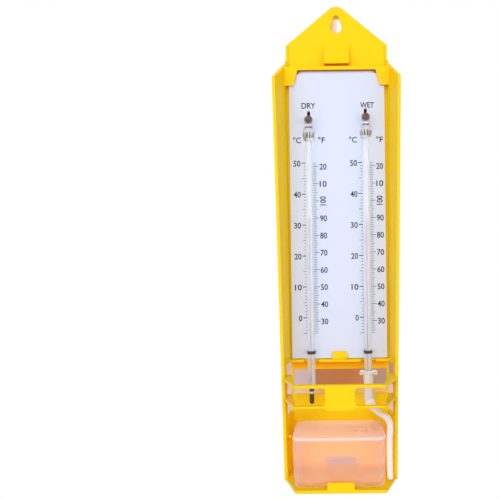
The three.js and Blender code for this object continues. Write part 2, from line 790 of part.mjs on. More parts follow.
// Reservoir: a drafted tub with round corners and a lid that caps its rim.
const reservoirLeftX = -innerHalfWidth + reservoirLeftGap;
const reservoirRightX = innerHalfWidth - reservoirRightGap;
const reservoirBackDepth = backThickness + reservoirBackGap;
const reservoirFrontDepth = guardDepth - wallThickness - reservoirFrontGap;
const reservoirFootZ = floorTopZ + fitGap;
const reservoirTopZ = reservoirFootZ + reservoirHeight;
const tubInset = lidSkirtThickness + fitGap;
const tubTopZ = reservoirTopZ - lidThickness - fitGap;
const tubShoulderZ = reservoirTopZ - lidSkirtHeight - fitGap;

function reservoirRing(inset, z) {
  const left = reservoirLeftX + inset;
  const right = reservoirRightX - inset;
  const back = reservoirBackDepth + inset;
  const front = reservoirFrontDepth - inset;
  const backRadius = reservoirBackRadius - inset;
  const frontRadius = reservoirFrontRadius - inset;
  const quarters = [
    [left + frontRadius, front - frontRadius, frontRadius, Math.PI],
    [right - frontRadius, front - frontRadius, frontRadius, Math.PI * 3 / 2],
    [right - backRadius, back + backRadius, backRadius, 0],
    [left + backRadius, back + backRadius, backRadius, Math.PI / 2],
  ];
  return quarters.flatMap(([x, depth, radius, start]) => Array.from({ length: cornerSteps + 1 }, (_, i) => {
    const angle = start + Math.PI / 2 * i / cornerSteps;
    return new THREE.Vector3(x + radius * Math.cos(angle), -depth + radius * Math.sin(angle), z);
  }));
}

function reservoirTub() {
  const body = lofted([
    reservoirRing(lidOverhang + reservoirDraft + reservoirFootRadius / 2, reservoirFootZ),
    reservoirRing(lidOverhang + reservoirDraft, reservoirFootZ + reservoirFootRadius),
    reservoirRing(lidOverhang, tubShoulderZ),
  ]);
  const neck = lofted([
    reservoirRing(tubInset, tubShoulderZ - embed),
    reservoirRing(tubInset, tubTopZ),
  ]);
  const inside = lofted([
    reservoirRing(tubInset + reservoirDraft + reservoirWall, reservoirFootZ + reservoirWall),
    reservoirRing(tubInset + reservoirWall, tubTopZ + cutOverrun),
  ]);
  return join([body, neck]).subtract(inside);
}

function reservoirLid() {
  const cap = lofted([
    reservoirRing(0, reservoirTopZ - lidSkirtHeight),
    reservoirRing(0, reservoirTopZ - lidEdgeRadius),
    reservoirRing(lidEdgeRadius, reservoirTopZ),
  ]);
  const inside = lofted([
    reservoirRing(lidSkirtThickness, reservoirTopZ - lidSkirtHeight - cutOverrun),
    reservoirRing(lidSkirtThickness, reservoirTopZ - lidThickness),
  ]);
  const collarTopZ = reservoirTopZ + wickCollarHeight;
  const collar = turned([
    [0, reservoirTopZ - lidThickness / 2],
    [wickHoleRadius + wickCollarWall, reservoirTopZ - lidThickness / 2],
    [wickHoleRadius + wickCollarWall, collarTopZ],
    [0, collarTopZ],
  ], wickHoleX, wickHoleDepth, roundSides);
  const hole = turned([
    [0, reservoirTopZ - lidThickness - cutOverrun],
    [wickHoleRadius, reservoirTopZ - lidThickness - cutOverrun],
    [wickHoleRadius, collarTopZ + cutOverrun],
    [0, collarTopZ + cutOverrun],
  ], wickHoleX, wickHoleDepth, roundSides);
  return cut(cap, [inside]).add(collar).subtract(hole);
}

// Wick: a woven sleeve over the wet bulb, tied with thread, whose tail hangs beside the reservoir.
const wet = thermometers[1];
const sleeveTopZ = upperBarTopZ + sleeveAboveUpperBar;
const sleeveFootZ = wet.tipZ - sleeveBelowTip;

// Places that the tail passes through, as width, depth and height from the bulb's tip to the free end.
const tailRoute = [
  [1.1, 4.1, -1.2],
  [1.7, 6.1, -1.8],
  [2.5, 8.5, -2.3],
  [3.6, 11.1, -2.8],
  [4.9, 13.9, -3.4],
  [6.3, 16.7, -4.0],
  [7.9, 19.4, -4.8],
  [9.6, 21.8, -5.9],
  [10.7, 23.8, -8.0],
  [11.0, 25.0, -10.9],
  [11.0, 25.6, -14.2],
  [11.1, 25.7, -18.2],
  [11.0, 25.7, -22.6],
  [11.0, 25.6, -27.6],
  [11.1, 25.5, -32.6],
  [11.2, 25.4, -37.6],
  [11.3, 25.4, -42.4],
];

const bulbTip = new THREE.Vector3(wet.x, -stemDepth, wet.tipZ);

function tailPoint([x, depth, z]) {
  return bulbTip.clone().add(new THREE.Vector3(x, -depth, z));
}

function wickSleeve() {
  const bore = stemRadius + fitGap;
  const outside = turned([
    [0, sleeveFootZ],
    [sleeveRadius / 2, sleeveFootZ + sleeveEndBlend / 6],
    [sleeveRadius - sleeveBelowTip / 3, sleeveFootZ + sleeveEndBlend / 2],
    [sleeveRadius, sleeveFootZ + sleeveEndBlend * 2],
    [sleeveRadius, sleeveTopZ],
    [0, sleeveTopZ],
  ], wet.x, stemDepth, roundSides);
  const inside = turned([
    [0, wet.tipZ - fitGap],
    [bulbRadius + fitGap, wet.tipZ + bulbRadius / 2],
    [bulbRadius + fitGap, wet.tipZ + bulbLength - bulbShoulder],
    [bore, wet.tipZ + bulbLength],
    [bore, sleeveTopZ + cutOverrun],
    [0, sleeveTopZ + cutOverrun],
  ], wet.x, stemDepth, roundSides);
  const exit = tailPoint(tailRoute[0]);
  const lead = tailPoint(tailRoute[1]).sub(exit).normalize();
  const reach = exit.distanceTo(bulbTip);
  const neck = new THREE.CylinderGeometry(tailRadius + fitGap, tailRadius + fitGap, reach, smallSides);
  neck.applyQuaternion(new THREE.Quaternion().setFromUnitVectors(new THREE.Vector3(0, 1, 0), lead));
  const middle = exit.clone().addScaledVector(lead, -fitGap - reach / 2);
  neck.translate(middle.x, middle.y, middle.z);
  return outside.add(solidOf(neck)).subtract(inside);
}

function wickTie() {
  const centreRadius = sleeveRadius + fitGap + tieRadius;
  const z = sleeveTopZ - tieBelowTop;
  const profile = [];
  for (let i = 0; i <= tailSides; i += 1) {
    const angle = -Math.PI * 2 * i / tailSides;
    profile.push([centreRadius + tieRadius * Math.cos(angle), z - tieRadius * Math.sin(angle)]);
  }
  const loop = turned(profile, wet.x, stemDepth, roundSides);
  const wings = [-1, 1].map((hand) => {
    const geometry = new THREE.SphereGeometry(1, smallSides, tailSides);
    geometry.scale(tieWingReach, tieWingThickness, tieWingHeight);
    geometry.translate(wet.x + hand * centreRadius, -stemDepth - tieRadius, z + tieWingHeight / 2);
    return solidOf(geometry);
  });
  const inside = turned([
    [0, z - tieWingHeight * 2],
    [sleeveRadius + fitGap, z - tieWingHeight * 2],
    [sleeveRadius + fitGap, z + tieWingHeight * 2],
    [0, z + tieWingHeight * 2],
  ], wet.x, stemDepth, roundSides);
  return cut(join([loop, ...wings]), [inside]);
}

function wickTail() {
  const curve = new THREE.CatmullRomCurve3(tailRoute.map(tailPoint));
  const section = new THREE.Shape();
  section.absarc(0, 0, tailRadius, 0, Math.PI * 2);
  return solidOf(new THREE.ExtrudeGeometry(section, {
    steps: tailSteps,
    extrudePath: curve,
    curveSegments: tailSides,
  }));
}

const instrument = new THREE.Group();

function place(name, solid, finish) {
  const mesh = new THREE.Mesh(geometryOf(solid), new THREE.MeshStandardMaterial(finish));
  mesh.name = name;
  instrument.add(mesh);
}

place('case_shell', caseShell(), moulding);
place('scale_plate', scalePlate(), plateWhite);
for (const thermometer of thermometers) {
  place(`${thermometer.name}_thermometer_glass`, thermometerGlass(thermometer), clearGlass);
  place(`${thermometer.name}_mercury`, mercury(thermometer), quicksilver);
  place(`${thermometer.name}_ring_washer`, ringWasher(thermometer), greyedSteel);
  place(`${thermometer.name}_ring_screw`, ringScrew(thermometer), brownedBrass);
  place(`${thermometer.name}_stem_band`, stemBand(thermometer), darkBand);
}
place('reservoir_tub', reservoirTub(), clearTub);
place('reservoir_lid', reservoirLid(), clearTub);
place('wick_sleeve', wickSleeve(), cotton);
place('wick_tie', wickTie(), cotton);
place('wick_tail', wickTail(), cotton);

export default instrument;
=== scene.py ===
# %% [markdown]
# # A wet and dry bulb hygrometer, dressed for its picture
# The instrument hangs on a wall. A yellow moulded tray holds a printed scale plate and two mercury
# thermometers. The bulb of the right one wears a cotton wick. Both bulbs stand in an open chamber behind
# a guard, above a reservoir of clear plastic. The CAD model comes first and stays as it is: every piece
# made here sits where one of its solids is, and takes over its looks.

# %% Load the model and keep its box
import math

import bmesh
import bpy
from mathutils import Matrix, Vector


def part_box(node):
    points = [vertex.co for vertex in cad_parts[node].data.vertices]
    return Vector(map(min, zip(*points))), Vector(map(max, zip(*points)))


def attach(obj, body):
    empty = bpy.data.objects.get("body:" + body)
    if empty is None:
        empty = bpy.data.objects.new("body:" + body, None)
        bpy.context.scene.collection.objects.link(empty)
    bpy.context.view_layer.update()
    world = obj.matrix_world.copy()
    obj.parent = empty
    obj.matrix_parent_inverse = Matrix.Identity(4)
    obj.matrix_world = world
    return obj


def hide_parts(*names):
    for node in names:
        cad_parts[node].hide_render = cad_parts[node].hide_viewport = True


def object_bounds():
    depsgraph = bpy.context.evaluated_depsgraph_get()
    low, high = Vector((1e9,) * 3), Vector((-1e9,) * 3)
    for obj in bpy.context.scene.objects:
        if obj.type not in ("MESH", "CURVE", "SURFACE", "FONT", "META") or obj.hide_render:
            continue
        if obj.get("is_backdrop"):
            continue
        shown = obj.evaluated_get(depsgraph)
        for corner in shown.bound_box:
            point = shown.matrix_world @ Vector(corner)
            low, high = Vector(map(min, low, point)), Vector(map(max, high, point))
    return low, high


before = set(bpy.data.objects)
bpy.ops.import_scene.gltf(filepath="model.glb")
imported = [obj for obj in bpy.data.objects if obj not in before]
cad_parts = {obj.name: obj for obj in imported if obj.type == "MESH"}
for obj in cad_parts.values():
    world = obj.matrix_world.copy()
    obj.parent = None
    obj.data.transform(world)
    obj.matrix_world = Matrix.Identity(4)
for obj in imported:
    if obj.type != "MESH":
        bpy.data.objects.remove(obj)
scene = bpy.context.scene
cad_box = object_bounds()
mm = 0.001

# %% [markdown]
# ## Places
# Shapes are modelled in millimetres, because that is how the instrument is measured, and brought to metres
# when they are kept. A place is given as across, depth and height: the depth counts forward from the wall,
# which is towards the camera, so its sign turns when it becomes a Y.

# %% Places in millimetres


def at(across, depth, height):
    return Vector((across, -depth, height))


def box_of(node):
    low, high = (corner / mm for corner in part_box(node))
    return low, high


plate_low, plate_high = box_of("scale_plate")
plate_face = -plate_low.y
forward = (0, -1, 0)
stem_depth = 11.5
stems = {"dry": -18.3, "wet": 18.3}
rings = {"dry": -69.75, "wet": -68.35}
tips = {"dry": -252.05, "wet": -250.65}
print("plate from", round(plate_low.z, 2), "to", round(plate_high.z, 2), "mm")
print("its face is", round(plate_face, 2), "mm in front of the wall")

# %% [markdown]
# ## Camera
# The photograph was taken from in front of the bulbs, slightly above the middle of the instrument, with
# another object beside it. So the camera looks straight along the depth, and the lens is shifted sideways
# to leave the instrument right of the middle.

# %% Camera
camera = bpy.data.objects.new("camera", bpy.data.cameras.new("camera"))
camera.location = (1.74 * mm, -457.12 * mm, -147.9 * mm)
pitch = Matrix.Rotation(math.pi / 2 - 0.0117, 3, "X")
roll = Matrix.Rotation(-0.0119, 3, "Z")
camera.rotation_euler = (pitch @ roll).to_euler()
camera.data.lens = 49.94
camera.data.sensor_width = 36
camera.data.shift_x = -0.1825
camera.data.clip_start = 0.01
scene.collection.objects.link(camera)
scene.camera = camera
print("camera", [round(c, 3) for c in camera.location], "lens", camera.data.lens)

# %% [markdown]
# ## Arithmetic on shader sockets
# A pattern such as grain is a sum of noises and ramps. Written as nodes it takes many lines, so a small
# class stands for the output of a node, and adding or multiplying two of them adds the Math node.

# %% Signal


class Signal:
    """What comes out of a shader node, ready for ordinary arithmetic."""

    def __init__(self, finish, socket):
        self.finish = finish
        self.socket = socket

    def math(self, operation, first, second):
        return self.finish.node("ShaderNodeMath", {"operation": operation}, {0: first, 1: second})

    def __add__(self, other):
        return self.math("ADD", self, other)

    def __radd__(self, other):
        return self.math("ADD", other, self)

    def __sub__(self, other):
        return self.math("SUBTRACT", self, other)

    def __rsub__(self, other):
        return self.math("SUBTRACT", other, self)

    def __mul__(self, other):
        return self.math("MULTIPLY", self, other)

    def __truediv__(self, other):
        return self.math("DIVIDE", self, other)

    def __rmul__(self, other):
        return self.math("MULTIPLY", other, self)

    def __gt__(self, other):
        return self.math("GREATER_THAN", self, other)

    def __lt__(self, other):
        return self.math("LESS_THAN", self, other)

    def __abs__(self):
        return self.math("ABSOLUTE", self, 0)

    def sine(self):
        return self.math("SINE", self, 0)

    def between(self, low_mm, high_mm):
        """1 where a place lies between two distances in millimetres, else 0."""
        return (self > low_mm * mm) * (self < high_mm * mm)


print("a Signal can be added, multiplied, compared and given limits")

# %% [markdown]
# ## A finish is one material
# All of its nodes come from one method, which takes a node's type, its settings, and what goes into its
# sockets. The methods after it name what the finishes share: noises, mixes and ramps, how far along an axis
# a point lies, and how open its place is. A last method ends the material in one Principled surface.

# %% Finish


class Finish:
    """A material that is being mixed, or the world around the instrument."""

    def __init__(self, name):
        self.material = bpy.data.materials.new(name) if isinstance(name, str) else name
        self.material.use_nodes = True
        self.tree = self.material.node_tree
        self.tree.nodes.clear()

    def node(self, kind, settings=None, inputs=None, output=0):
        """The one place where a node is made: its type, its settings, then its values and links."""
        made = self.tree.nodes.new(kind)
        for name, value in (settings or {}).items():
            if name == "stops":
                for index, (position, tone) in enumerate(value):
                    stops = made.color_ramp.elements
                    stop = stops[index] if index < len(stops) else stops.new(position)
                    stop.position = position
                    stop.color = tone
            else:
                setattr(made, name, value)
        for name, value in (inputs or {}).items():
            if isinstance(value, Signal):
                self.tree.links.new(value.socket, made.inputs[name])
            else:
                made.inputs[name].default_value = value
        return Signal(self, made.outputs[output]) if made.outputs else None

    def place(self):
        return self.node("ShaderNodeTexCoord", output="Object")

    def noise(self, per_mm, detail=2.0, stretch=(1, 1, 1)):
        placed = self.node("ShaderNodeMapping", None, {"Vector": self.place(), "Scale": stretch})
        inputs = {"Vector": placed, "Scale": per_mm / mm, "Detail": detail}
        return self.node("ShaderNodeTexNoise", None, inputs)

    def mix(self, share, first, second):
        return self.node("ShaderNodeMix", {"data_type": "RGBA"}, {0: share, 6: first, 7: second}, 2)

    def ramp(self, share, *stops):
        return self.node("ShaderNodeValToRGB", {"stops": stops}, {"Fac": share})

    def along(self, axis):
        """How far along X, Y or Z a point lies, in metres."""
        return self.node("ShaderNodeSeparateXYZ", None, {"Vector": self.place()}, axis)

    def openness(self, reach_mm, toward=None):
        """1 on an open face, towards 0 where other faces stand around within reach. With a side to look
        toward, only the piece's own faces on that side count."""
        settings, inputs = {"samples": 12, "only_local": toward is not None}, {"Distance": reach_mm * mm}
        if toward:
            inputs["Normal"] = self.node("ShaderNodeCombineXYZ", None, dict(zip("XYZ", toward)))
        return self.node("ShaderNodeAmbientOcclusion", settings, inputs, "AO")

    def bump(self, height, depth_mm, strength=1.0):
        inputs = {"Height": height, "Distance": depth_mm * mm, "Strength": strength}
        return self.node("ShaderNodeBump", None, inputs)

    def rays(self, *kinds):
        """1 for light paths of these kinds, such as Camera or Glossy, else 0."""
        share = self.node("ShaderNodeLightPath", output="Is " + kinds[0] + " Ray")
        for kind in kinds[1:]:
            share = share + self.node("ShaderNodeLightPath", output="Is " + kind + " Ray")
        return share

    def done(self, inputs, shadow=None, cover=None, covering=None):
        """The finish itself. A cover is the share of the surface that a second finish hides. A clear
        finish lets light through to its shadow, dimmed by the shadow colour."""
        shader = self.node("ShaderNodeBsdfPrincipled", None, inputs)
        if cover:
            second = self.node("ShaderNodeBsdfPrincipled", None, covering)
            shader = self.node("ShaderNodeMixShader", None, {0: cover, 1: shader, 2: second})
        if shadow:
            passed = self.node("ShaderNodeBsdfTransparent", None, {"Color": shadow})
            shader = self.node("ShaderNodeMixShader", None, {0: self.rays("Shadow"), 1: shader, 2: passed})
        self.node("ShaderNodeOutputMaterial", None, {"Surface": shader})
        return self.material


print("a Finish has", len([name for name in vars(Finish) if not name.startswith("_")]), "methods")

# %% Colours as seen


def paint(red, green, blue):
    """A colour as seen on a screen, 0 to 255, as the linear numbers that a shader mixes."""
    shares = [value / 255 for value in (red, green, blue)]
    return tuple(s / 12.92 if s <= 0.04045 else ((s + 0.055) / 1.055) ** 2.4 for s in shares) + (1.0,)


print("paint(128, 128, 128) is", [round(value, 3) for value in paint(128, 128, 128)])

# %% [markdown]
# ## Keeping a shape
# Each shape is drawn as a bmesh in millimetres. Keeping it scales it to metres, makes the object, shades it
# smooth up to a crease angle, gives it its finish, hangs it on the empty of the body that it rides on, and
# hides the solid that it stands for.

# %% Keep a shape as a piece


def keep(name, shape, finish, stands_for=(), body="case", crease=30):
    mesh = bpy.data.meshes.new(name)
    bmesh.ops.scale(shape, vec=(mm, mm, mm), verts=shape.verts)
    shape.to_mesh(mesh)
    shape.free()
    mesh.shade_smooth()
    mesh.set_sharp_from_angle(angle=math.radians(crease))
    mesh.materials.append(finish)
    piece = bpy.data.objects.new(name, mesh)
    scene.collection.objects.link(piece)
    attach(piece, body)
    if stands_for:
        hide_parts(*stands_for)
    even = piece.modifiers.new("even shading", "WEIGHTED_NORMAL")
    even.keep_sharp = True
    print(name, len(mesh.polygons), "faces")
    return piece


# %% [markdown]
# ## The wick's tail
# The tail is a flat plaited cotton wick that leaves the sleeve on the wet bulb, passes under the guard's
# lower bar and over the rim of the reservoir, and hangs beside it. It is a free cord about 60 mm long, so it
# comes before all else. A sheet of mesh is rolled into a flat tube along the route, ribbed lengthwise as
# plaited cotton is, and a pattern map runs across and along it for the weave.

# %% Route of the tail
wet_tip = at(stems["wet"], stem_depth, tips["wet"])
tail_steps = [
    (0.4, 1.6, 1.6), (0.9, 3.8, -0.6), (1.7, 6.1, -1.8), (2.5, 8.5, -2.3), (3.6, 11.1, -2.8),
    (4.9, 13.9, -3.4), (6.3, 16.7, -4.0), (8.0, 19.4, -4.4), (9.9, 21.8, -5.1), (11.5, 23.8, -7.2),
    (11.9, 25.0, -10.6), (11.7, 25.6, -14.2), (11.5, 25.7, -18.2), (11.4, 25.7, -22.6),
    (11.4, 25.6, -27.6), (11.5, 25.5, -32.6), (11.6, 25.4, -37.6), (11.7, 25.4, -42.4),
]
tail_places = [wet_tip + at(*step) for step in tail_steps]


def smooth_route(places, between):
    """Points on a smooth curve through the places, so that the cord bends evenly."""
    ends = [places[0] * 2 - places[1]] + places + [places[-1] * 2 - places[-2]]
    route = []
    for before, start, end, after in zip(ends, ends[1:], ends[2:], ends[3:]):
        for step in range(between):
            t = step / between
            bend = 2 * before - 5 * start + 4 * end - after
            twist = 3 * start - before - 3 * end + after
            route.append(0.5 * (2 * start + (end - before) * t + bend * t ** 2 + twist * t ** 3))
    return route + [places[-1]]


tail_route = smooth_route(tail_places, 3)
tail_length = sum((b - a).length for a, b in zip(tail_route, tail_route[1:]))
print("tail length", round(tail_length, 1), "mm in", len(tail_route), "points")

# %% Finish of the cotton


def cotton_finish(name, across, along, depth_mm):
    """Woven cotton: warp and weft as two waves on the piece's own pattern map, with soft stray fibres."""
    cotton = Finish(name)
    pattern = {"Vector": cotton.node("ShaderNodeUVMap", {"uv_map": "weave"})}
    warp = (cotton.node("ShaderNodeSeparateXYZ", None, pattern, "X") * (across * math.tau)).sine()
    weft = (cotton.node("ShaderNodeSeparateXYZ", None, pattern, "Y") * (along * math.tau)).sine()
    weave = warp * weft * 0.5 + 0.5
    fluff = cotton.noise(3.0, 4.0)
    relief = weave * 0.7 + fluff * 0.3
    shade = cotton.ramp(relief, (0.15, paint(250, 235, 222)), (0.6, paint(255, 250, 243)))
    return cotton.done({
        "Base Color": shade, "Roughness": 0.95, "Specular IOR Level": 0.15, "Sheen Weight": 0.2,
        "Sheen Roughness": 0.5, "Subsurface Weight": 0.3, "Subsurface Scale": 1.0 * mm,
        "Normal": cotton.bump(relief, depth_mm),
    })


tail_cotton = cotton_finish("plaited_cotton", 12, 70, 0.06)
print("finish", tail_cotton.name)

# %% Rolling a sheet of mesh into a tube


def rolled(along, around, placed):
    """Rolls a flat grid into a closed tube. placed(share along, share around) says where a point goes."""
    shape = bmesh.new()
    shape.loops.layers.uv.new("weave")
    bmesh.ops.create_grid(shape, x_segments=along, y_segments=around, size=0.5, calc_uvs=True)
    for v in shape.verts:
        v.co = placed(v.co.x + 0.5, v.co.y + 0.5)
    bmesh.ops.remove_doubles(shape, verts=shape.verts, dist=0.002)
    bmesh.ops.recalc_face_normals(shape, faces=shape.faces)
    return shape


def strand(route, half_width, half_thickness, facing, around=16, ribs=0, relief=0.0, spread=(1, 1, 1)):
    """A cord along a route, flat or round. facing is the way its width points; ribs run along it. spread
    widens it at its start, at a third of its length and at its end."""

    def heading(index):
        return (route[min(index + 1, len(route) - 1)] - route[max(index - 1, 0)]).normalized()

    def placed(share, turn):
        spot = share * (len(route) - 1)
        index = min(int(spot), len(route) - 2)
        place = route[index].lerp(route[index + 1], spot - index)
        ahead = heading(index).lerp(heading(index + 1), spot - index).normalized()
        width = (facing - ahead * facing.dot(ahead)).normalized()
        thickness = ahead.cross(width)
        angle = turn * math.tau
        end = min(share, 1 - share) * (len(route) - 1)
        swell = math.sqrt(min(1.0, end * 1.5)) * (1 + relief * math.cos(angle * ribs))
        early, late = min(1, share * 3), max(0, share * 1.5 - 0.5)
        wider = spread[0] + (spread[1] - spread[0]) * early + (spread[2] - spread[1]) * late
        return (place + width * (math.cos(angle) * half_width * wider * swell)
                + thickness * (math.sin(angle) * half_thickness * swell))

    return rolled((len(route) - 1) * 4, around, placed)


# %% Tail of the wick
tail_width = 4.1
tail_facing = Vector((0.94, -0.3, 0.12))
braid = strand(tail_route, tail_width / 2, 1.1, tail_facing, around=48, ribs=12, relief=0.05,
               spread=(1.45, 1.0, 0.85))
tail = keep("wick_tail_braid", braid, tail_cotton, ["wick_tail"], crease=80)
tail_route[0] * mm
[place * mm for place in tail_route]

# %% [markdown]
# ## The yellow case
# The case is one moulding in yellow plastic. Its solid has the right shape but knife-sharp edges, which no
# moulding has, so a merged copy gets narrow rounded edges that catch the light, and stands for it. An edge
# is rounded only where both of its faces have room, or the bevel would fold over. The plastic is one colour,
# with a very slight cloudiness, an orange-peel skin and a few dull rubbed places. Where the case's own walls
# close it in, painted shade makes it deeper and more orange, for the shade and the light bounced between its
# yellow walls.

# %% Finish of the yellow plastic
yellow = Finish("yellow_moulded_plastic")
cloud = yellow.noise(0.03, 3.0)
skin = yellow.noise(2.2, 2.0)
rubbed = yellow.ramp(yellow.noise(0.12, 6.0), (0.45, (0, 0, 0, 1)), (0.75, (1, 1, 1, 1)))
# Painted shade: where the case's own walls close a face in, seen from above and the front, its colour is
# painted deeper and more orange, for shade and for light bounced between the yellow walls.
open_side = (0, -0.55, 0.83)
depth = yellow.ramp(yellow.openness(9, open_side), (0.12, (1.0, 0.26, 0.0, 1)), (0.42, (1.0, 0.59, 0.0, 1)),
                    (0.75, (1.0, 0.68, 0.004, 1)))
yellow_plastic = yellow.done({
    "Base Color": yellow.mix(cloud * 0.15, depth, (1.0, 0.72, 0.01, 1)),
    "Roughness": 0.33 + rubbed * 0.12 + skin * 0.05,
    "Specular IOR Level": 0.12, "Normal": yellow.bump(skin, 0.02, 0.5),
})
print("finish", yellow_plastic.name)

# %% Copy a solid


def copy_of(node):
    """A copy of a CAD solid with its doubles merged and its flat faces whole again, in millimetres."""
    shape = bmesh.new()
    shape.from_mesh(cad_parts[node].data)
    bmesh.ops.scale(shape, vec=(1 / mm, 1 / mm, 1 / mm), verts=shape.verts)
    bmesh.ops.remove_doubles(shape, verts=shape.verts, dist=0.01)
    flat = math.radians(1)
    bmesh.ops.dissolve_limit(shape, angle_limit=flat, verts=shape.verts, edges=shape.edges)
    return shape


whole = copy_of("case_shell")
print("copy of the case:", len(whole.faces), "faces")

# %% Round its edges


def room(edge, face):
    """How far a face reaches inwards from the middle of one of its edges."""
    loop = next(corner for corner in edge.link_loops if corner.face == face)
    ahead = (loop.link_loop_next.vert.co - loop.vert.co).normalized()
    inward = face.normal.cross(ahead)
    middle = (edge.verts[0].co + edge.verts[1].co) / 2
    reach = math.inf
    for other in face.edges:
        start, end = ((v.co - middle).dot(ahead) for v in other.verts)
        if other != edge and start * end <= 0 and start != end:
            first, last = ((v.co - middle).dot(inward) for v in other.verts)
            crossed = first + (last - first) * start / (start - end)
            reach = min(reach, crossed if crossed > 1e-4 else math.inf)
    return reach


def straying(edge, chosen):
    """The sharpest turn from an edge to the chosen edges at its two ends, when each end has one."""
    turns = []
    for v in edge.verts:
        following = [e for e in v.link_edges if e in chosen and e != edge]
        if len(following) != 1:
            return math.pi
        turns.append((v.co - edge.other_vert(v).co).angle(following[0].other_vert(v).co - v.co))
    return max(turns)


def soften(shape, width, segments=2, turn=25):
    """Rounds the edges that turn more than an angle, where both of their faces have room for it."""
    limit = math.radians(turn)
    turning = [e for e in shape.edges if len(e.link_faces) == 2 and e.calc_face_angle(0) > limit]
    roomy = [e for e in turning if min(room(e, face) for face in e.link_faces) > 2.3 * width]
    chosen = set(turning)
    edges = [e for e in roomy if e.calc_length() > 3 * width or straying(e, chosen) < math.radians(30)]
    bmesh.ops.bevel(shape, geom=edges, offset=width, offset_type="OFFSET", segments=segments, profile=0.5,
                    affect="EDGES", material=-1)
    return shape


keep("case_moulding", soften(whole, 0.3, 2, 28), yellow_plastic, ["case_shell"], crease=50)

# %% [markdown]
# ## The scale plate
# The plate is a glossy white plastic sheet, slightly blue. It starts as a slab with rounded top corners.
# Then it is cut through for the screws, for the stems' bands and above each glass loop, and a dish is sunk
# in it where the glass swells. The yellow lip above the plate throws a warm brown shade on its edge.

# %% Finish of the plate
shaded_strip = 3.6
white = Finish("white_printed_plate")
plate_cloud = white.noise(0.02, 3.0)
sheet_white = white.mix(plate_cloud, paint(216, 225, 249), paint(221, 229, 251))
lip_shade = white.ramp(white.openness(4), (0.6, (1, 1, 1, 1)), (0.9, (0, 0, 0, 1)))
lip_shade = lip_shade * (white.along("Z") > (plate_high.z - shaded_strip) * mm)
plate_white = white.done({
    "Base Color": white.mix(lip_shade, sheet_white, paint(150, 66, 16)),
    "Roughness": 0.28 + white.noise(0.4, 4.0) * 0.1,
    "Specular IOR Level": 0.4, "Normal": white.bump(white.noise(1.5), 0.008, 0.4),
})
print("finish", plate_white.name)

# %% [markdown]
# ## Turning, cutting and joining
# Glass, screws, washers and round holes are all turned shapes, so one helper spins a profile round an axis.
# Another joins two shapes or cuts one by the other. It goes through the Boolean modifier on two objects
# that are gone afterwards, because bmesh has no exact Boolean of its own.

# %% Turned shapes, slabs and Booleans


def spun(profile, centre, along=(0, 0, 1), steps=64, turn=math.tau):
    """Turns a profile of radius and height pairs round an axis through a centre."""
    shape = bmesh.new()
    axis = Vector(along)
    corners = [shape.verts.new(centre + Vector((radius, 0, 0)) + axis * height)
               for radius, height in profile]
    lines = [shape.edges.new(pair) for pair in zip(corners, corners[1:])]
    bmesh.ops.spin(shape, geom=corners + lines, cent=centre, axis=axis, dvec=(0, 0, 0), angle=turn,
                   steps=steps, use_merge=turn == math.tau)
    bmesh.ops.remove_doubles(shape, verts=shape.verts, dist=0.001)
    bmesh.ops.recalc_face_normals(shape, faces=shape.faces)
    return shape


def combined(shape, other, how):
    """Joins one shape to another, or cuts it by the other, with the exact Boolean."""
    pair = []
    for part in (shape, other):
        mesh = bpy.data.meshes.new("operand")
        part.to_mesh(mesh)
        part.free()
        pair.append(bpy.data.objects.new("operand", mesh))
        scene.collection.objects.link(pair[-1])
    modifier = pair[0].modifiers.new("join", "BOOLEAN")
    modifier.operation = how
    modifier.solver = "EXACT"
    modifier.object = pair[1]
    whole = bmesh.new()
    whole.from_object(pair[0], bpy.context.evaluated_depsgraph_get())
    for part in pair:
        bpy.data.objects.remove(part)
    return whole


def slab(low, high):
    """A box between two corners, to be rounded or used as a cutter."""
    shape = bmesh.new()
    middle, size = (low + high) / 2, high - low
    place = Matrix.Translation(middle) @ Matrix.Diagonal(size.to_4d())
    bmesh.ops.create_cube(shape, size=1, matrix=place)
    bmesh.ops.recalc_face_normals(shape, faces=shape.faces)
    return shape


print("shapes can be spun, and joined or cut")

# %% Slab with rounded top corners
corner_radius = 2
sheet = slab(at(plate_low.x, -plate_high.y, plate_low.z), at(plate_high.x, plate_face, plate_high.z))
short = [e for e in sheet.edges if abs(e.verts[0].co.y - e.verts[1].co.y) > 1]
corners = [e for e in short if e.verts[0].co.z > plate_low.z + 1]
bmesh.ops.bevel(sheet, geom=corners, offset=corner_radius, offset_type="OFFSET", segments=8, profile=0.5,
                affect="EDGES", material=-1)
soften(sheet, 0.15)
print("slab with", len(sheet.faces), "faces")

# %% Swelling of the glass
swell_foot, swell_top = -13.5, -5.0


def swelling(ring, clearance=0.0):
    """Radius and height pairs of the swelling below a glass loop, or of a dish that clears it."""
    foot, top = ring + swell_foot, ring + swell_top
    profile = []
    for step in range(21):
        swell = math.sin(math.pi * step / 20) ** 0.45 if 0 < step < 20 else 0.0
        profile.append((2.4 + (1.55 + clearance) * swell, foot + (top - foot) * step / 20))
    return profile


print("swelling of", len(swelling(rings["dry"])), "rings of points")

# %% Plate with its cuts
behind, before = 5, 12
hole_radius, keyhole_rise = 1.0, 5.5
band_foot, band_height, band_inner, band_outer = -219.75, 2.0, 2.42, 2.56
post = [(0, behind), (hole_radius, behind), (hole_radius, before), (0, before)]
for side, x in stems.items():
    ring = rings[side]
    dish = [(0, ring + swell_foot)] + swelling(ring, 0.3) + [(0, ring + swell_top)]
    cutters = [spun(dish, at(x, stem_depth, 0), steps=48)]
    cutters += [spun(post, at(x, 0, height), forward, 32) for height in (ring, ring + keyhole_rise)]
    cutters.append(slab(at(x - hole_radius, behind, ring + 3.4),
                        at(x + hole_radius, before, ring + keyhole_rise)))
    for hand in (-1, 1):
        middle = x + hand * (band_inner + band_outer) / 2
        cutters.append(slab(at(middle - 0.12, behind, band_foot - 0.1),
                            at(middle + 0.12, before, band_foot + band_height + 0.1)))
    for cutter in cutters:
        sheet = combined(sheet, cutter, "DIFFERENCE")
keep("scale_sheet", sheet, plate_white, ["scale_plate"])

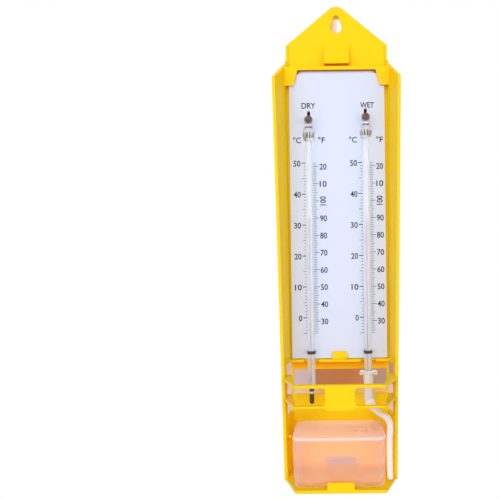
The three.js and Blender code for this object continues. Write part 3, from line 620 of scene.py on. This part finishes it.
# %% [markdown]
# ## The printing
# The print is a film of ink that a brush could not draw, so the ticks are thin slabs and the letters are
# Blender text made into meshes, all of them a few hundredths of a millimetre proud of the plate.

# %% Ink and lettering
ink = Finish("dark_grey_ink")
grey_ink = ink.done({
    "Base Color": ink.mix(ink.noise(4.0, 3.0), paint(16, 19, 28), paint(28, 32, 42)),
    "Roughness": 0.5 + ink.noise(6.0) * 0.2,
})
ink_back, ink_front = plate_face - 0.01, plate_face + 0.03
printing = bmesh.new()
print("finish", grey_ink.name, "on a film", round(ink_front - ink_back, 2), "mm thick")

# %% Words and ticks


def print_text(words, left, right, middle, height, turned=False):
    """Prints words between two widths, at a height, by fitting the letters' own box to the one measured."""
    text = bpy.data.curves.new("lettering", "FONT")
    text.body = words
    text.resolution_u = 3
    text.extrude = 0.5
    text.offset = 0.017
    holder = bpy.data.objects.new("lettering", text)
    scene.collection.objects.link(holder)
    flat = bpy.data.meshes.new_from_object(holder)
    letters = bmesh.new()
    letters.from_mesh(flat)
    bpy.data.meshes.remove(flat)
    bpy.data.objects.remove(holder)
    if turned:
        bmesh.ops.rotate(letters, matrix=Matrix.Rotation(math.pi / 2, 3, "Z"), verts=letters.verts)
    xs, ys = [v.co.x for v in letters.verts], [v.co.y for v in letters.verts]
    fit = ((right - left) / (max(xs) - min(xs)), height / (max(ys) - min(ys)))
    for v in letters.verts:
        v.co = at(left + (v.co.x - min(xs)) * fit[0],
                  ink_front if v.co.z > 0 else ink_back, middle + (v.co.y - min(ys)) * fit[1] - height / 2)
    mesh = bpy.data.meshes.new("lettering")
    letters.to_mesh(mesh)
    letters.free()
    printing.from_mesh(mesh)
    bpy.data.meshes.remove(mesh)


def print_tick(left, right, height, thickness):
    low = at(left, ink_back, height - thickness / 2)
    high = at(right, ink_front, height + thickness / 2)
    place = Matrix.Translation((low + high) / 2) @ Matrix.Diagonal((high - low).to_4d())
    bmesh.ops.create_cube(printing, size=1, matrix=place)


print_text("DRY", -22.8, -13.8, -59.92, 3.7)
print_text("WET", 14.95, 23.95, -59.85, 3.6)
unit_signs = (("°C", -28.5, -23.4), ("°F", -12.4, -7.9), ("°C", 7.6, 12.6), ("°F", 25.0, 29.5))
for words, left, right in unit_signs:
    print_text(words, left, right, -82.0, 3.9)
print("words of", len(printing.faces), "faces")

# %% Scales beside the two stems
top_mark = plate_high.z - 60.85
per_celsius = 2.0
stem_gap, celsius_gap, fahrenheit_gap = 2.2, 5.7, 6.6


def celsius_height(degrees):
    return top_mark - (50 - degrees) * per_celsius


for side, x in stems.items():
    for degrees in range(50, -6, -1):
        ten, five = degrees % 10 == 0, degrees % 5 == 0
        reach = 5.0 if ten else 4.8 if five else 3.6
        print_tick(x - reach, x - stem_gap, celsius_height(degrees), 0.55 if ten else 0.28)
        if ten:
            width = 4.5 if degrees else 2.2
            right = x - celsius_gap
            print_text(str(degrees), right - width, right, celsius_height(degrees) - 0.3, 3.9)
    for degrees in range(122, 22, -1):
        height = celsius_height((degrees - 32) / 1.8)
        ten, five = degrees % 10 == 0, degrees % 5 == 0
        reach = 5.9 if ten else 5.1 if five else 4.5
        print_tick(x + stem_gap, x + reach, height, 0.36 if ten else 0.24)
        if degrees == 100:
            print_text("100", x + 6.7, x + 10.6, height, 5.9, turned=True)
        elif ten:
            print_text(str(degrees % 100), x + fahrenheit_gap, x + fahrenheit_gap + 4.5, height - 0.2, 3.9)

bmesh.ops.recalc_face_normals(printing, faces=printing.faces)
keep("scale_printing", printing, grey_ink)

# %% [markdown]
# ## The thermometers
# Each is a drawn glass stem with a bulb of mercury at its foot, a swelling near its top and a loop of glass
# for the screw. The stem is spun, and the loop is joined to it with a Boolean, so that no wall is left
# inside the glass. The glass is part clear and part milky, because such stems are backed with white. Light
# and reflections in it are painted into its colour as ramps on the height and on the distance from the
# stem's axis: a painted white highlight and a painted brown refraction cross it under the loop, two painted
# dark refractions run down the swelling, and the bulb is painted brown, as a painted reflection of the
# orange case, but for a clear band where the mercury's painted glint shows. Its shadow is a soft grey.

# %% Finish of the glass
glass = Finish("clear_drawn_glass")
drawn = glass.mix(glass.noise(0.05), (0.88, 0.89, 0.92, 1), (0.92, 0.93, 0.95, 1))
height, across = glass.along("Z"), glass.along("X")
off_axis = abs(abs(across) - stems["wet"] * mm)
under_ring = (rings["dry"] * mm - height) + (across > 0) * ((rings["wet"] - rings["dry"]) * mm)
# Painted light in the glass: a painted white highlight and a painted brown refraction under the loop, and two
# painted dark refractions down the swelling, placed by how far below the loop and how far off the axis a
# point lies.
painted_dark_refraction, painted_brown_refraction, painted_white_highlight = (0.10, 0.07, 0.05, 1), (0.22, 0.10, 0.08, 1), (1, 1, 1, 1)
painted_swelling_refractions = glass.ramp(off_axis / (3 * mm), (0.12, (0.96, 0.95, 0.94, 1)), (0.2, painted_dark_refraction),
                      (0.34, painted_dark_refraction), (0.45, (0.84, 0.82, 0.81, 1)))
for nearest, furthest, tone in ((8.0, 11.9, painted_swelling_refractions), (4.1, 5.1, painted_brown_refraction), (2.4, 4.1, painted_white_highlight)):
    drawn = glass.mix(under_ring.between(nearest, furthest), drawn, tone)
# Painted reflection: the bulb's glass is painted brown, for the orange case mirrored in the mercury, except
# for a clear band where the mercury's painted glint shows through.
unpainted_glass, painted_brown_reflection = (0.9, 0.9, 0.9, 1), (0.26, 0.13, 0.04, 1)
reflection_foot, reflection_height, reflection_reach = tips["dry"] + 6, 7, 13
painted_bulb_reflection = glass.ramp((height - reflection_foot * mm) / (reflection_height * mm), (0.04, painted_brown_reflection), (0.17, unpainted_glass),
                     (0.26, unpainted_glass), (0.39, painted_brown_reflection), (0.83, painted_brown_reflection), (0.87, unpainted_glass))
clear_glass = glass.done({
    "Base Color": glass.mix(height < (tips["dry"] + reflection_reach) * mm, drawn, painted_bulb_reflection),
    "Roughness": 0.01 + glass.noise(0.5) * 0.02, "IOR": 1.5, "Transmission Weight": 0.7,
}, shadow=(0.80, 0.82, 0.86, 1))
print("finish", clear_glass.name)

# %% Finish of the mercury
silver = Finish("mercury_metal")
# Painted reflection: the mercury is painted dark brown, as it mirrors the dark room and the orange case, and
# a band part way up the bulbs is painted nearly white as a painted glint.
film = silver.mix(silver.noise(0.4), (0.14, 0.10, 0.08, 1), (0.22, 0.17, 0.15, 1))
glint_foot, glint_height = tips["dry"] + 6, 3
glint = silver.ramp((silver.along("Z") - glint_foot * mm) / (glint_height * mm), (0.1, (0, 0, 0, 1)),
                    (0.4, (1, 1, 1, 1)), (0.6, (1, 1, 1, 1)), (0.9, (0, 0, 0, 1)))
quicksilver = silver.done({
    "Base Color": silver.mix(glint, film, (0.97, 0.93, 0.90, 1)),
    "Roughness": 0.06 + silver.noise(0.6) * 0.04, "Metallic": 1.0,
})
print("finish", quicksilver.name)

# %% Profile of a stem


def glass_profile(tip, ring):
    """Radius and height pairs of the glass, from the tip of the bulb to the middle of the loop."""
    bulb, stem, shoulder = 1.5, 2.4, tip + 10
    profile = [(0, tip)]
    for angle in (0.3, 0.6, 0.9, 1.2, math.pi / 2):
        profile.append((bulb * math.sin(angle), tip + bulb - bulb * math.cos(angle)))
    for step in range(9):
        share = step / 8
        ease = share * share * (3 - 2 * share)
        profile.append((bulb + 0.9 * ease, shoulder + 2.4 * share))
    return profile + swelling(ring) + [(stem, ring - 1), (stem - 0.1, ring), (0, ring)]


print("profile of", len(glass_profile(tips["dry"], rings["dry"])), "points")

# %% Thermometers
thread_top = plate_high.z - 96.5
for side, x in stems.items():
    tip, ring, axis = tips[side], rings[side], at(x, stem_depth, 0)
    loop = spun([(1.0, 10.0), (1.0, 13.0), (1.4, 13.5), (2.2, 13.5), (2.55, 13.1), (2.6, 12.4), (2.6, 10.6),
                 (2.55, 9.9), (2.2, 9.5), (1.4, 9.5), (1.0, 10.0)], at(x, 0, ring), forward, 48)
    glass_shape = combined(spun(glass_profile(tip, ring), axis), loop, "UNION")
    hole = spun([(0, 5), (hole_radius, 5), (hole_radius, 18), (0, 18)], at(x, 0, ring), forward, 32)
    glass_shape = combined(glass_shape, hole, "DIFFERENCE")
    keep(side + "_glass", glass_shape, clear_glass, [side + "_thermometer_glass"], crease=40)
    thread = spun([(0, tip + 0.3), (0.7, tip + 0.45), (1.15, tip + 1.2), (1.2, tip + 2), (1.2, tip + 9.6),
                   (0.9, tip + 10.5), (0.3, tip + 11.6), (0.16, tip + 12.5), (0.16, thread_top - 0.2),
                   (0.12, thread_top), (0, thread_top + 0.05)], at(x - 0.2, stem_depth, 0), steps=32)
    keep(side + "_mercury_thread", thread, quicksilver, [side + "_mercury"], crease=60)

# %% [markdown]
# ## Washers, screws and bands
# A dished washer of dull grey metal and a small slotted brass screw, browned with age, hold each glass
# loop. A dark band holds each stem at the foot of the plate. Washers and screws are spun about an axis that
# runs forward from the wall; the slot is cut with a Boolean. The band is half a spin with straight legs.

# %% Finishes of the metals and the band
steel = Finish("dulled_grey_metal")
spots = steel.noise(1.6, 5.0)
grey_metal = steel.done({
    "Base Color": steel.mix(spots, (0.06, 0.058, 0.07, 1), (0.20, 0.19, 0.23, 1)),
    "Roughness": 0.3 + spots * 0.25, "Metallic": 1.0, "Normal": steel.bump(spots, 0.05, 0.4),
})
brass = Finish("browned_brass")
tarnish = brass.noise(1.2, 6.0)
brown_brass = brass.done({
    "Base Color": brass.mix(tarnish, (0.10, 0.03, 0.012, 1), (0.38, 0.16, 0.06, 1)),
    "Roughness": 0.28 + tarnish * 0.25, "Metallic": 1.0, "Normal": brass.bump(tarnish, 0.06, 0.5),
})
rubber = Finish("dark_band")
band_grain = rubber.noise(3.0, 4.0)
dark_rubber = rubber.done({
    "Base Color": rubber.mix(band_grain, paint(62, 34, 32), paint(98, 66, 62)),
    "Roughness": 0.45 + band_grain * 0.2, "Normal": rubber.bump(band_grain, 0.04, 0.4),
})
print("finishes", grey_metal.name, brown_brass.name, dark_rubber.name)

# %% A band round a stem
leg_end = 4.2


def band_round(x):
    """Half a ring round the stem at a width, with two straight legs that run back through the plate."""
    axis = at(x, stem_depth, 0)
    band = bmesh.new()
    bmesh.ops.create_grid(band, x_segments=1, y_segments=1, size=0.5)
    place = Matrix.Translation(at(x + (band_inner + band_outer) / 2, stem_depth, band_foot + band_height / 2))
    size = Matrix.Diagonal((band_outer - band_inner, band_height, 1, 1))
    bmesh.ops.transform(band, matrix=place @ Matrix.Rotation(math.pi / 2, 4, "X") @ size, verts=band.verts)
    made = bmesh.ops.spin(band, geom=list(band.faces), cent=axis, axis=(0, 0, -1), dvec=(0, 0, 0),
                          angle=math.pi, steps=32)
    last = [f for f in made["geom_last"] if isinstance(f, bmesh.types.BMFace)]
    flush = [f for f in band.faces if len(f.verts) == 4 and abs(f.calc_center_median().y - axis.y) < 1e-4]
    for end in (last, [f for f in flush if f.calc_center_median().x > x]):
        grown = bmesh.ops.extrude_face_region(band, geom=end)["geom"]
        moved = [g for g in grown if isinstance(g, bmesh.types.BMVert)]
        bmesh.ops.translate(band, vec=(0, stem_depth - leg_end, 0), verts=moved)
    inside = [f for f in band.faces if all(len(e.link_faces) > 2 for e in f.edges)]
    bmesh.ops.delete(band, geom=inside, context="FACES_ONLY")
    bmesh.ops.recalc_face_normals(band, faces=band.faces)
    return soften(band, 0.05, 2, 40)


print("legs of a band:", round(stem_depth - leg_end, 2), "mm")

# %% Washers, screws and bands
washer_profile =[(1.0, 14.15), (1.0, 14.65), (2.5, 14.3), (2.6, 14.2), (2.6, 13.9), (2.5, 13.8),
                  (1.0, 14.15)]
shank_profile = [(0, 3.4), (0.45, 3.9), (0.7, 4.6), (0.7, 14.98), (1.38, 14.98), (1.42, 15.05)]
dome_profile = [(1.42 * math.cos(a), 15.25 + 0.6 * math.sin(a)) for a in (0.0, 0.35, 0.7, 1.05, 1.35)]
slot_foot, slot_half_width = 15.45, 0.2
slot_turns = {"dry": math.radians(24), "wet": math.radians(-12)}
for side, x in stems.items():
    ring = rings[side]
    centre = at(x, 0, ring)
    washer = soften(spun(washer_profile, centre, forward, 56), 0.06, 2, 40)
    keep(side + "_washer", washer, grey_metal, [side + "_ring_washer"])
    screw = spun(shank_profile + dome_profile + [(0, 15.86)], centre, forward, 40)
    slot = slab(at(x - 2, slot_foot, ring - slot_half_width), at(x + 2, 16.5, ring + slot_half_width))
    turned = Matrix.Rotation(slot_turns[side], 3, "Y")
    bmesh.ops.rotate(slot, cent=centre, matrix=turned, verts=slot.verts)
    screw = combined(screw, slot, "DIFFERENCE")
    keep(side + "_screw", screw, brown_brass, [side + "_ring_screw"], crease=35)
    keep(side + "_band", band_round(x), dark_rubber, [side + "_stem_band"])

# %% [markdown]
# ## The wick on the wet bulb
# A knitted cotton sleeve covers the wet bulb and the foot of its stem, tied at the top with thread. The
# sleeve is a sheet of mesh rolled round the stem, raised in ribs and rows where the stitches are. The tie is
# a thin strand that goes twice round and ends in two short wings.

# %% Sleeve
sleeve_ribs, sleeve_rows = 22, 40
sleeve_cotton = cotton_finish("knitted_cotton", sleeve_ribs, sleeve_rows, 0.3)
sleeve_top, sleeve_foot = -230.7, -252.0


def sleeve_radius(share):
    """Wide and round at the foot, snug below the tie and slightly flared above it."""
    foot = math.sqrt(max(0.0, 1 - (1 - min(1.0, share / 0.14)) ** 2))
    waist = math.exp(-((share - 0.925) / 0.03) ** 2)
    return foot * (3.12 + 0.1 * math.sin(share * 9) - 0.32 * waist) + 1.2 * max(0.0, share - 0.95)


def sleeve_place(share, turn):
    angle = turn * math.tau
    height = sleeve_foot + (sleeve_top - sleeve_foot) * share
    rib = 0.07 * math.cos(angle * sleeve_ribs) * (0.6 + 0.4 * math.cos(share * sleeve_rows * math.tau))
    radius = max(0.0, sleeve_radius(share) + (rib if share > 0.04 else 0.0))
    lean = 0.075 * math.sin(share * 4)
    across = stems["wet"] + radius * math.cos(angle) + lean
    return at(across, stem_depth - radius * math.sin(angle), height)


sleeve = rolled(150, 132, sleeve_place)
keep("wick_sleeve_knit", sleeve, sleeve_cotton, ["wick_sleeve"], crease=80)

# %% Tie
tie_steps, tie_foot, tie_rise, tie_radius = 60, -232.6, 1.2, 3.25
thread_route = []
for step in range(tie_steps + 1):
    angle = math.radians(-100 + step * 13)
    across, inward = tie_radius * math.cos(angle), tie_radius * math.sin(angle)
    rise = tie_rise * step / tie_steps
    thread_route.append(at(stems["wet"] + across, stem_depth - inward, tie_foot + rise))
tie_cotton = cotton_finish("cotton_thread", 4, 60, 0.1)
turns = strand(thread_route, 0.6, 0.45, Vector((0, 0, 1)), 12)
keep("wick_tie_turns", turns, tie_cotton, ["wick_tie"], crease=80)

# %% Wings of the tie
wing_steps = [
    (2.2, 2.9, -231.4), (3.3, 2.9, -230.9), (4.4, 2.6, -230.7), (5.1, 2.1, -231.3),
    (5.2, 1.7, -232.3), (4.5, 1.6, -232.7), (3.5, 2.2, -232.3), (2.6, 2.8, -231.9),
]
for name, hand in (("left", -1), ("right", 1)):
    route = [at(stems["wet"] + hand * reach, stem_depth + out, height) for reach, out, height in wing_steps]
    wing = strand(smooth_route(route, 3), 0.8, 0.6, Vector((0.3, 0.2, 1)), 12)
    keep("wick_tie_wing_" + name, wing, tie_cotton, crease=80)

# %% [markdown]
# ## The reservoir
# The tub and its lid are clear polypropylene, slightly milky and warm from the yellow around them. They are
# so thin that light hardly bends in them, so their index is just over 1, and both let light through to
# their shadow. The rim and the two ends look fuller, and have a second, solid finish for a share. The tub
# starts as a flat rectangle whose corners are rounded, which is pushed up, widened for its draft, set in
# for the wall and pushed down again.

# %% Finish of the clear plastic
rim_height, tub_middle = -265.5, -0.9
poly = Finish("milky_clear_plastic")
haze = poly.noise(0.08, 4.0)
scuffs = poly.noise(1.0, 6.0, (1, 1, 4))
rim = poly.ramp(abs(poly.along("Z") - rim_height * mm) * 500, (0.3, (0.5, 0.5, 0.5, 1)), (0.7, (0, 0, 0, 1)))
ends = poly.ramp(abs(poly.along("X") - tub_middle * mm) * 36, (0.86, (0, 0, 0, 1)),
                 (0.98, (0.25, 0.25, 0.25, 1)))
milky_plastic = poly.done({
    "Base Color": poly.mix(haze, (1.0, 0.84, 0.84, 1), (1.0, 0.87, 0.87, 1)),
    "Roughness": 0.25 + scuffs * 0.15, "IOR": 1.08, "Transmission Weight": 0.92,
    "Coat Weight": 0.2, "Coat Roughness": 0.25, "Normal": poly.bump(scuffs, 0.03, 0.3),
}, shadow=(1.0, 0.97, 0.95, 1), cover=rim + ends,
   covering={"Base Color": (1.0, 0.80, 0.73, 1), "Roughness": 0.4})
print("finish", milky_plastic.name)

# %% Rounded outline and walls


def outline(left, right, back, front, back_radius, front_radius, height):
    """A flat rectangle seen from above, with its back and front corners rounded."""
    shape = bmesh.new()
    bmesh.ops.create_grid(shape, x_segments=1, y_segments=1, size=0.5)
    centre = at((left + right) / 2, (back + front) / 2, height)
    size = Matrix.Diagonal((right - left, front - back, 1, 1))
    bmesh.ops.transform(shape, matrix=Matrix.Translation(centre) @ size, verts=shape.verts)
    for hand, radius in ((1, back_radius), (-1, front_radius)):
        corners = [v for v in shape.verts if (v.co.y - centre.y) * hand > 0]
        bmesh.ops.bevel(shape, geom=corners, offset=radius, offset_type="OFFSET", segments=12, profile=0.5,
                        affect="VERTICES", material=-1)
    return shape


def raised(shape, steps):
    """Raises the outline's face through steps of height and growth, and leaves a wall behind at each."""
    top = list(shape.faces)
    for number, (up, grow) in enumerate(steps):
        grown = bmesh.ops.extrude_face_region(shape, geom=top)["geom"]
        if number:
            bmesh.ops.delete(shape, geom=[f for f in top if f.is_valid], context="FACES_ONLY")
        top = [g for g in grown if isinstance(g, bmesh.types.BMFace)]
        verts = [g for g in grown if isinstance(g, bmesh.types.BMVert)]
        low = Vector([min(v.co[i] for v in verts) for i in range(3)])
        high = Vector([max(v.co[i] for v in verts) for i in range(3)])
        wider = [(high[i] - low[i] + 2 * grow) / (high[i] - low[i]) for i in range(2)] + [1]
        bmesh.ops.scale(shape, vec=wider, space=Matrix.Translation(-(low + high) / 2), verts=verts)
        bmesh.ops.translate(shape, vec=(0, 0, up), verts=verts)
    bmesh.ops.recalc_face_normals(shape, faces=shape.faces)
    return shape


tub_low, tub_high = box_of("reservoir_tub")
lid_low, lid_high = box_of("reservoir_lid")
print("tub", [round(c, 1) for c in tub_low], [round(c, 1) for c in tub_high])

# %% Tub
shoulder = lid_low.z - 0.3
foot_step = 1.5
tub_back_radius, tub_front_radius = 6.2, 2.2
tub = outline(tub_low.x + foot_step, tub_high.x - foot_step, -tub_high.y + foot_step, -tub_low.y - foot_step,
              tub_back_radius, tub_front_radius, tub_low.z)
raised(tub, [
    (0.2, 0.45), (0.4, 0.3), (0.6, 0.17), (0.8, 0.08),
    (shoulder - tub_low.z - 2, 0.5), (0, -0.9), (tub_high.z - shoulder, 0), (0, -1.0),
    (tub_low.z - tub_high.z + 3, -0.4), (-0.8, -0.15), (-0.5, -0.35), (-0.2, -0.45), (-0.1, -0.6),
])
keep("reservoir_cup", soften(tub, 0.25, 2, 50), milky_plastic, ["reservoir_tub"],
     body="reservoir", crease=40)

# %% Lid


def lid_block(inset, low, high):
    """A block with the lid's outline, drawn in on all sides, between two heights."""
    shape = outline(lid_low.x + inset, lid_high.x - inset, -lid_high.y + inset, -lid_low.y - inset,
                    8 - inset, 4 - inset, low)
    grown = bmesh.ops.extrude_face_region(shape, geom=list(shape.faces))["geom"]
    raised_verts = [g for g in grown if isinstance(g, bmesh.types.BMVert)]
    bmesh.ops.translate(shape, vec=(0, 0, high - low), verts=raised_verts)
    bmesh.ops.recalc_face_normals(shape, faces=shape.faces)
    return shape


lid_top, lid_wall, lid_thickness, below = -263.95, 0.9, 1.2, 1
hollow = lid_block(lid_wall, lid_low.z - below, lid_top - lid_thickness)
lid = combined(soften(lid_block(0, lid_low.z, lid_top), 0.5, 3, 50), hollow, "DIFFERENCE")
fill_place, fill_radius = at(12.5, 32, 0), 2.95
collar = spun([(0, lid_top - 0.6), (4.15, lid_top - 0.6), (4.15, lid_top + 0.55), (3.95, lid_top + 0.75),
               (3.7, lid_top + 0.8), (0, lid_top + 0.8)], fill_place, steps=48)
lid = combined(lid, collar, "UNION")
hole = spun([(0, lid_top - 3), (fill_radius, lid_top - 3), (fill_radius, lid_top + 3), (0, lid_top + 3)],
            fill_place, steps=48)
keep("reservoir_cap", combined(lid, hole, "DIFFERENCE"), milky_plastic, ["reservoir_lid"],
     body="lid", crease=35)

# %% [markdown]
# ## Wall, floor and light
# The instrument hangs on a white wall over a pale floor. The wall only shines, for the camera, for glass and
# for metal, and all other light passes it, so that it reads as a plain white ground and throws no light of
# its own on the case. Two patches of it are toned with painted shade, as a wall is in the shade of what
# hangs on it: one behind the back of the case, painted dark behind the keyholes and warm brown and pink grey
# behind the window of the bulb chamber and the reservoir, and one behind the hanging hole, painted orange to
# white. From behind it is clear, so that the back can be looked at. The floor keeps the shadow. Four large
# soft lamps stand before the instrument.

# %% Tones of the wall
backdrop = Finish("white_wall")
spot, up = backdrop.along("X"), backdrop.along("Z")
plain, patch_half_width = (1, 1, 1, 1), 36 * mm
across_patch = (spot + patch_half_width) / (2 * patch_half_width)
# Painted shade behind the window of the bulb chamber: pink grey at its sides and warm brown in the middle,
# with the lower tones below the window's foot.
window_painted_shade = backdrop.ramp(across_patch, (0.0, paint(214, 184, 178)), (0.22, paint(205, 175, 178)),
                       (0.28, paint(186, 122, 78)), (0.55, paint(190, 118, 68)),
                       (0.76, paint(200, 128, 86)), (0.84, paint(182, 144, 124)))
foot = backdrop.ramp(across_patch, (0.05, paint(220, 194, 188)), (0.12, paint(234, 196, 152)),
                     (0.36, paint(222, 164, 96)), (0.76, paint(236, 178, 96)),
                     (0.88, paint(236, 178, 96)), (0.95, paint(222, 194, 186)))
foot_top, tub_top, slots_foot = -242.5, -262, -200
# Below the tub's top the painted shade is pink grey, and above the foot of the slots the wall is painted
# nearly black, as painted shade deep in the keyholes.
shaded = backdrop.mix(up < foot_top * mm, window_painted_shade, foot)
shaded = backdrop.mix(up < tub_top * mm, shaded, paint(188, 158, 150))
shaded = backdrop.mix(up > slots_foot * mm, shaded, paint(62, 26, 24))
# Painted shade and light behind the hanging hole: orange at its left to white at its right, with a dark ochre
# edge at its top.
glow = backdrop.ramp((spot + 4 * mm) / (8 * mm), (0.0, paint(222, 172, 84)), (0.25, paint(246, 204, 158)),
                     (0.5, paint(250, 222, 208)), (0.7, plain))
glow = backdrop.mix(up > -1.8 * mm, glow, paint(220, 162, 70))
window_half_width = 31 * mm + up.between(-262, -225.5) * (5 * mm)
patch = (abs(spot) < window_half_width) * up.between(-300, -45)
hanging_hole = spot.between(-4.2, 4.5) * up.between(-20, 1.5)
tone = backdrop.mix(hanging_hole, backdrop.mix(patch, plain, shaded), glow)
print("the wall is toned", round(2000 * patch_half_width), "mm wide at most")

# %% Wall


def stage_plane(name, size, matrix, finish):
    """A flat square that belongs to the stage and not to the instrument."""
    shape = bmesh.new()
    bmesh.ops.create_grid(shape, x_segments=1, y_segments=1, size=size / 2, matrix=matrix)
    mesh = bpy.data.meshes.new(name)
    shape.to_mesh(mesh)
    shape.free()
    mesh.materials.append(finish)
    plane = bpy.data.objects.new(name, mesh)
    scene.collection.objects.link(plane)
    plane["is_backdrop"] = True


shine =backdrop.node("ShaderNodeEmission", None, {"Color": tone, "Strength": 1.0})
clear = backdrop.node("ShaderNodeBsdfTransparent")
in_front = 1 - backdrop.node("ShaderNodeNewGeometry", output="Backfacing")
shining = backdrop.rays("Camera", "Glossy", "Transmission") * in_front
one_sided = backdrop.node("ShaderNodeMixShader", None, {0: shining, 1: clear, 2: shine})
backdrop.node("ShaderNodeOutputMaterial", None, {"Surface": one_sided})
upright = Matrix.Translation((0, 0.0006, 0)) @ Matrix.Rotation(math.pi / 2, 4, "X")
stage_plane("wall", 3.0, upright, backdrop.material)
print("wall", backdrop.material.name)

# %% Floor
ground = Finish("pale_floor")
pale = ground.node("ShaderNodeBsdfDiffuse", None, {"Color": (0.82, 0.82, 0.82, 1)})
lit = ground.node("ShaderNodeEmission", None, {"Color": (1, 1, 1, 1), "Strength": 1.0})
ground_mix = ground.node("ShaderNodeMixShader", None, {0: ground.rays("Camera") * 0.6, 1: pale, 2: lit})
ground.node("ShaderNodeOutputMaterial", None, {"Surface": ground_mix})
stage_plane("floor", 3.0, Matrix.Translation((0, -1.5, -0.4)), ground.material)
print("floor", ground.material.name)

# %% Lamps


def lamp(name, place, target, size, power):
    data = bpy.data.lights.new(name, "AREA")
    data.size = size
    data.energy = power
    light = bpy.data.objects.new(name, data)
    light.location = place
    light.rotation_euler = (Vector(target) - Vector(place)).to_track_quat("-Z", "Y").to_euler()
    scene.collection.objects.link(light)
    print("lamp", name, power, "W")


lamp("key", (-0.6, -1.2, 0.9), (0, 0, -0.15), 0.8, 6.5)
lamp("front", (0.1, -1.7, -0.2), (0, 0, -0.2), 1.2, 8.5)
lamp("left fill", (-1.2, -1.2, -0.25), (0, 0, -0.17), 1.0, 6)
lamp("right fill", (1.2, -1.2, -0.2), (0, 0, -0.17), 1.0, 6.5)

# %% [markdown]
# ## The air around
# The world gives an even light at less than half strength, so that colours render about as they are
# written. For the camera and through glass it is white, and metal sees it a little brighter.

# %% World
world = bpy.data.worlds.new("studio")
scene.world = world
world.use_nodes = True
air = Finish(world)
level = 0.45 + air.rays("Camera", "Transmission") * 0.55 + air.rays("Glossy") * 0.1
sky = air.node("ShaderNodeBackground", None, {"Color": (1, 1, 1, 1), "Strength": level})
air.node("ShaderNodeOutputWorld", None, {"Surface": sky})
scene.view_settings.view_transform = "Standard"
print("world", world.name)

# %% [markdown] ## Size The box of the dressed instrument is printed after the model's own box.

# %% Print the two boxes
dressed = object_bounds()
boxes = {name: [list(corner) for corner in box] for name, box in (("cad", cad_box), ("visual", dressed))}
for name, box in boxes.items():
    print(name, [[round(value / mm, 2) for value in corner] for corner in box])
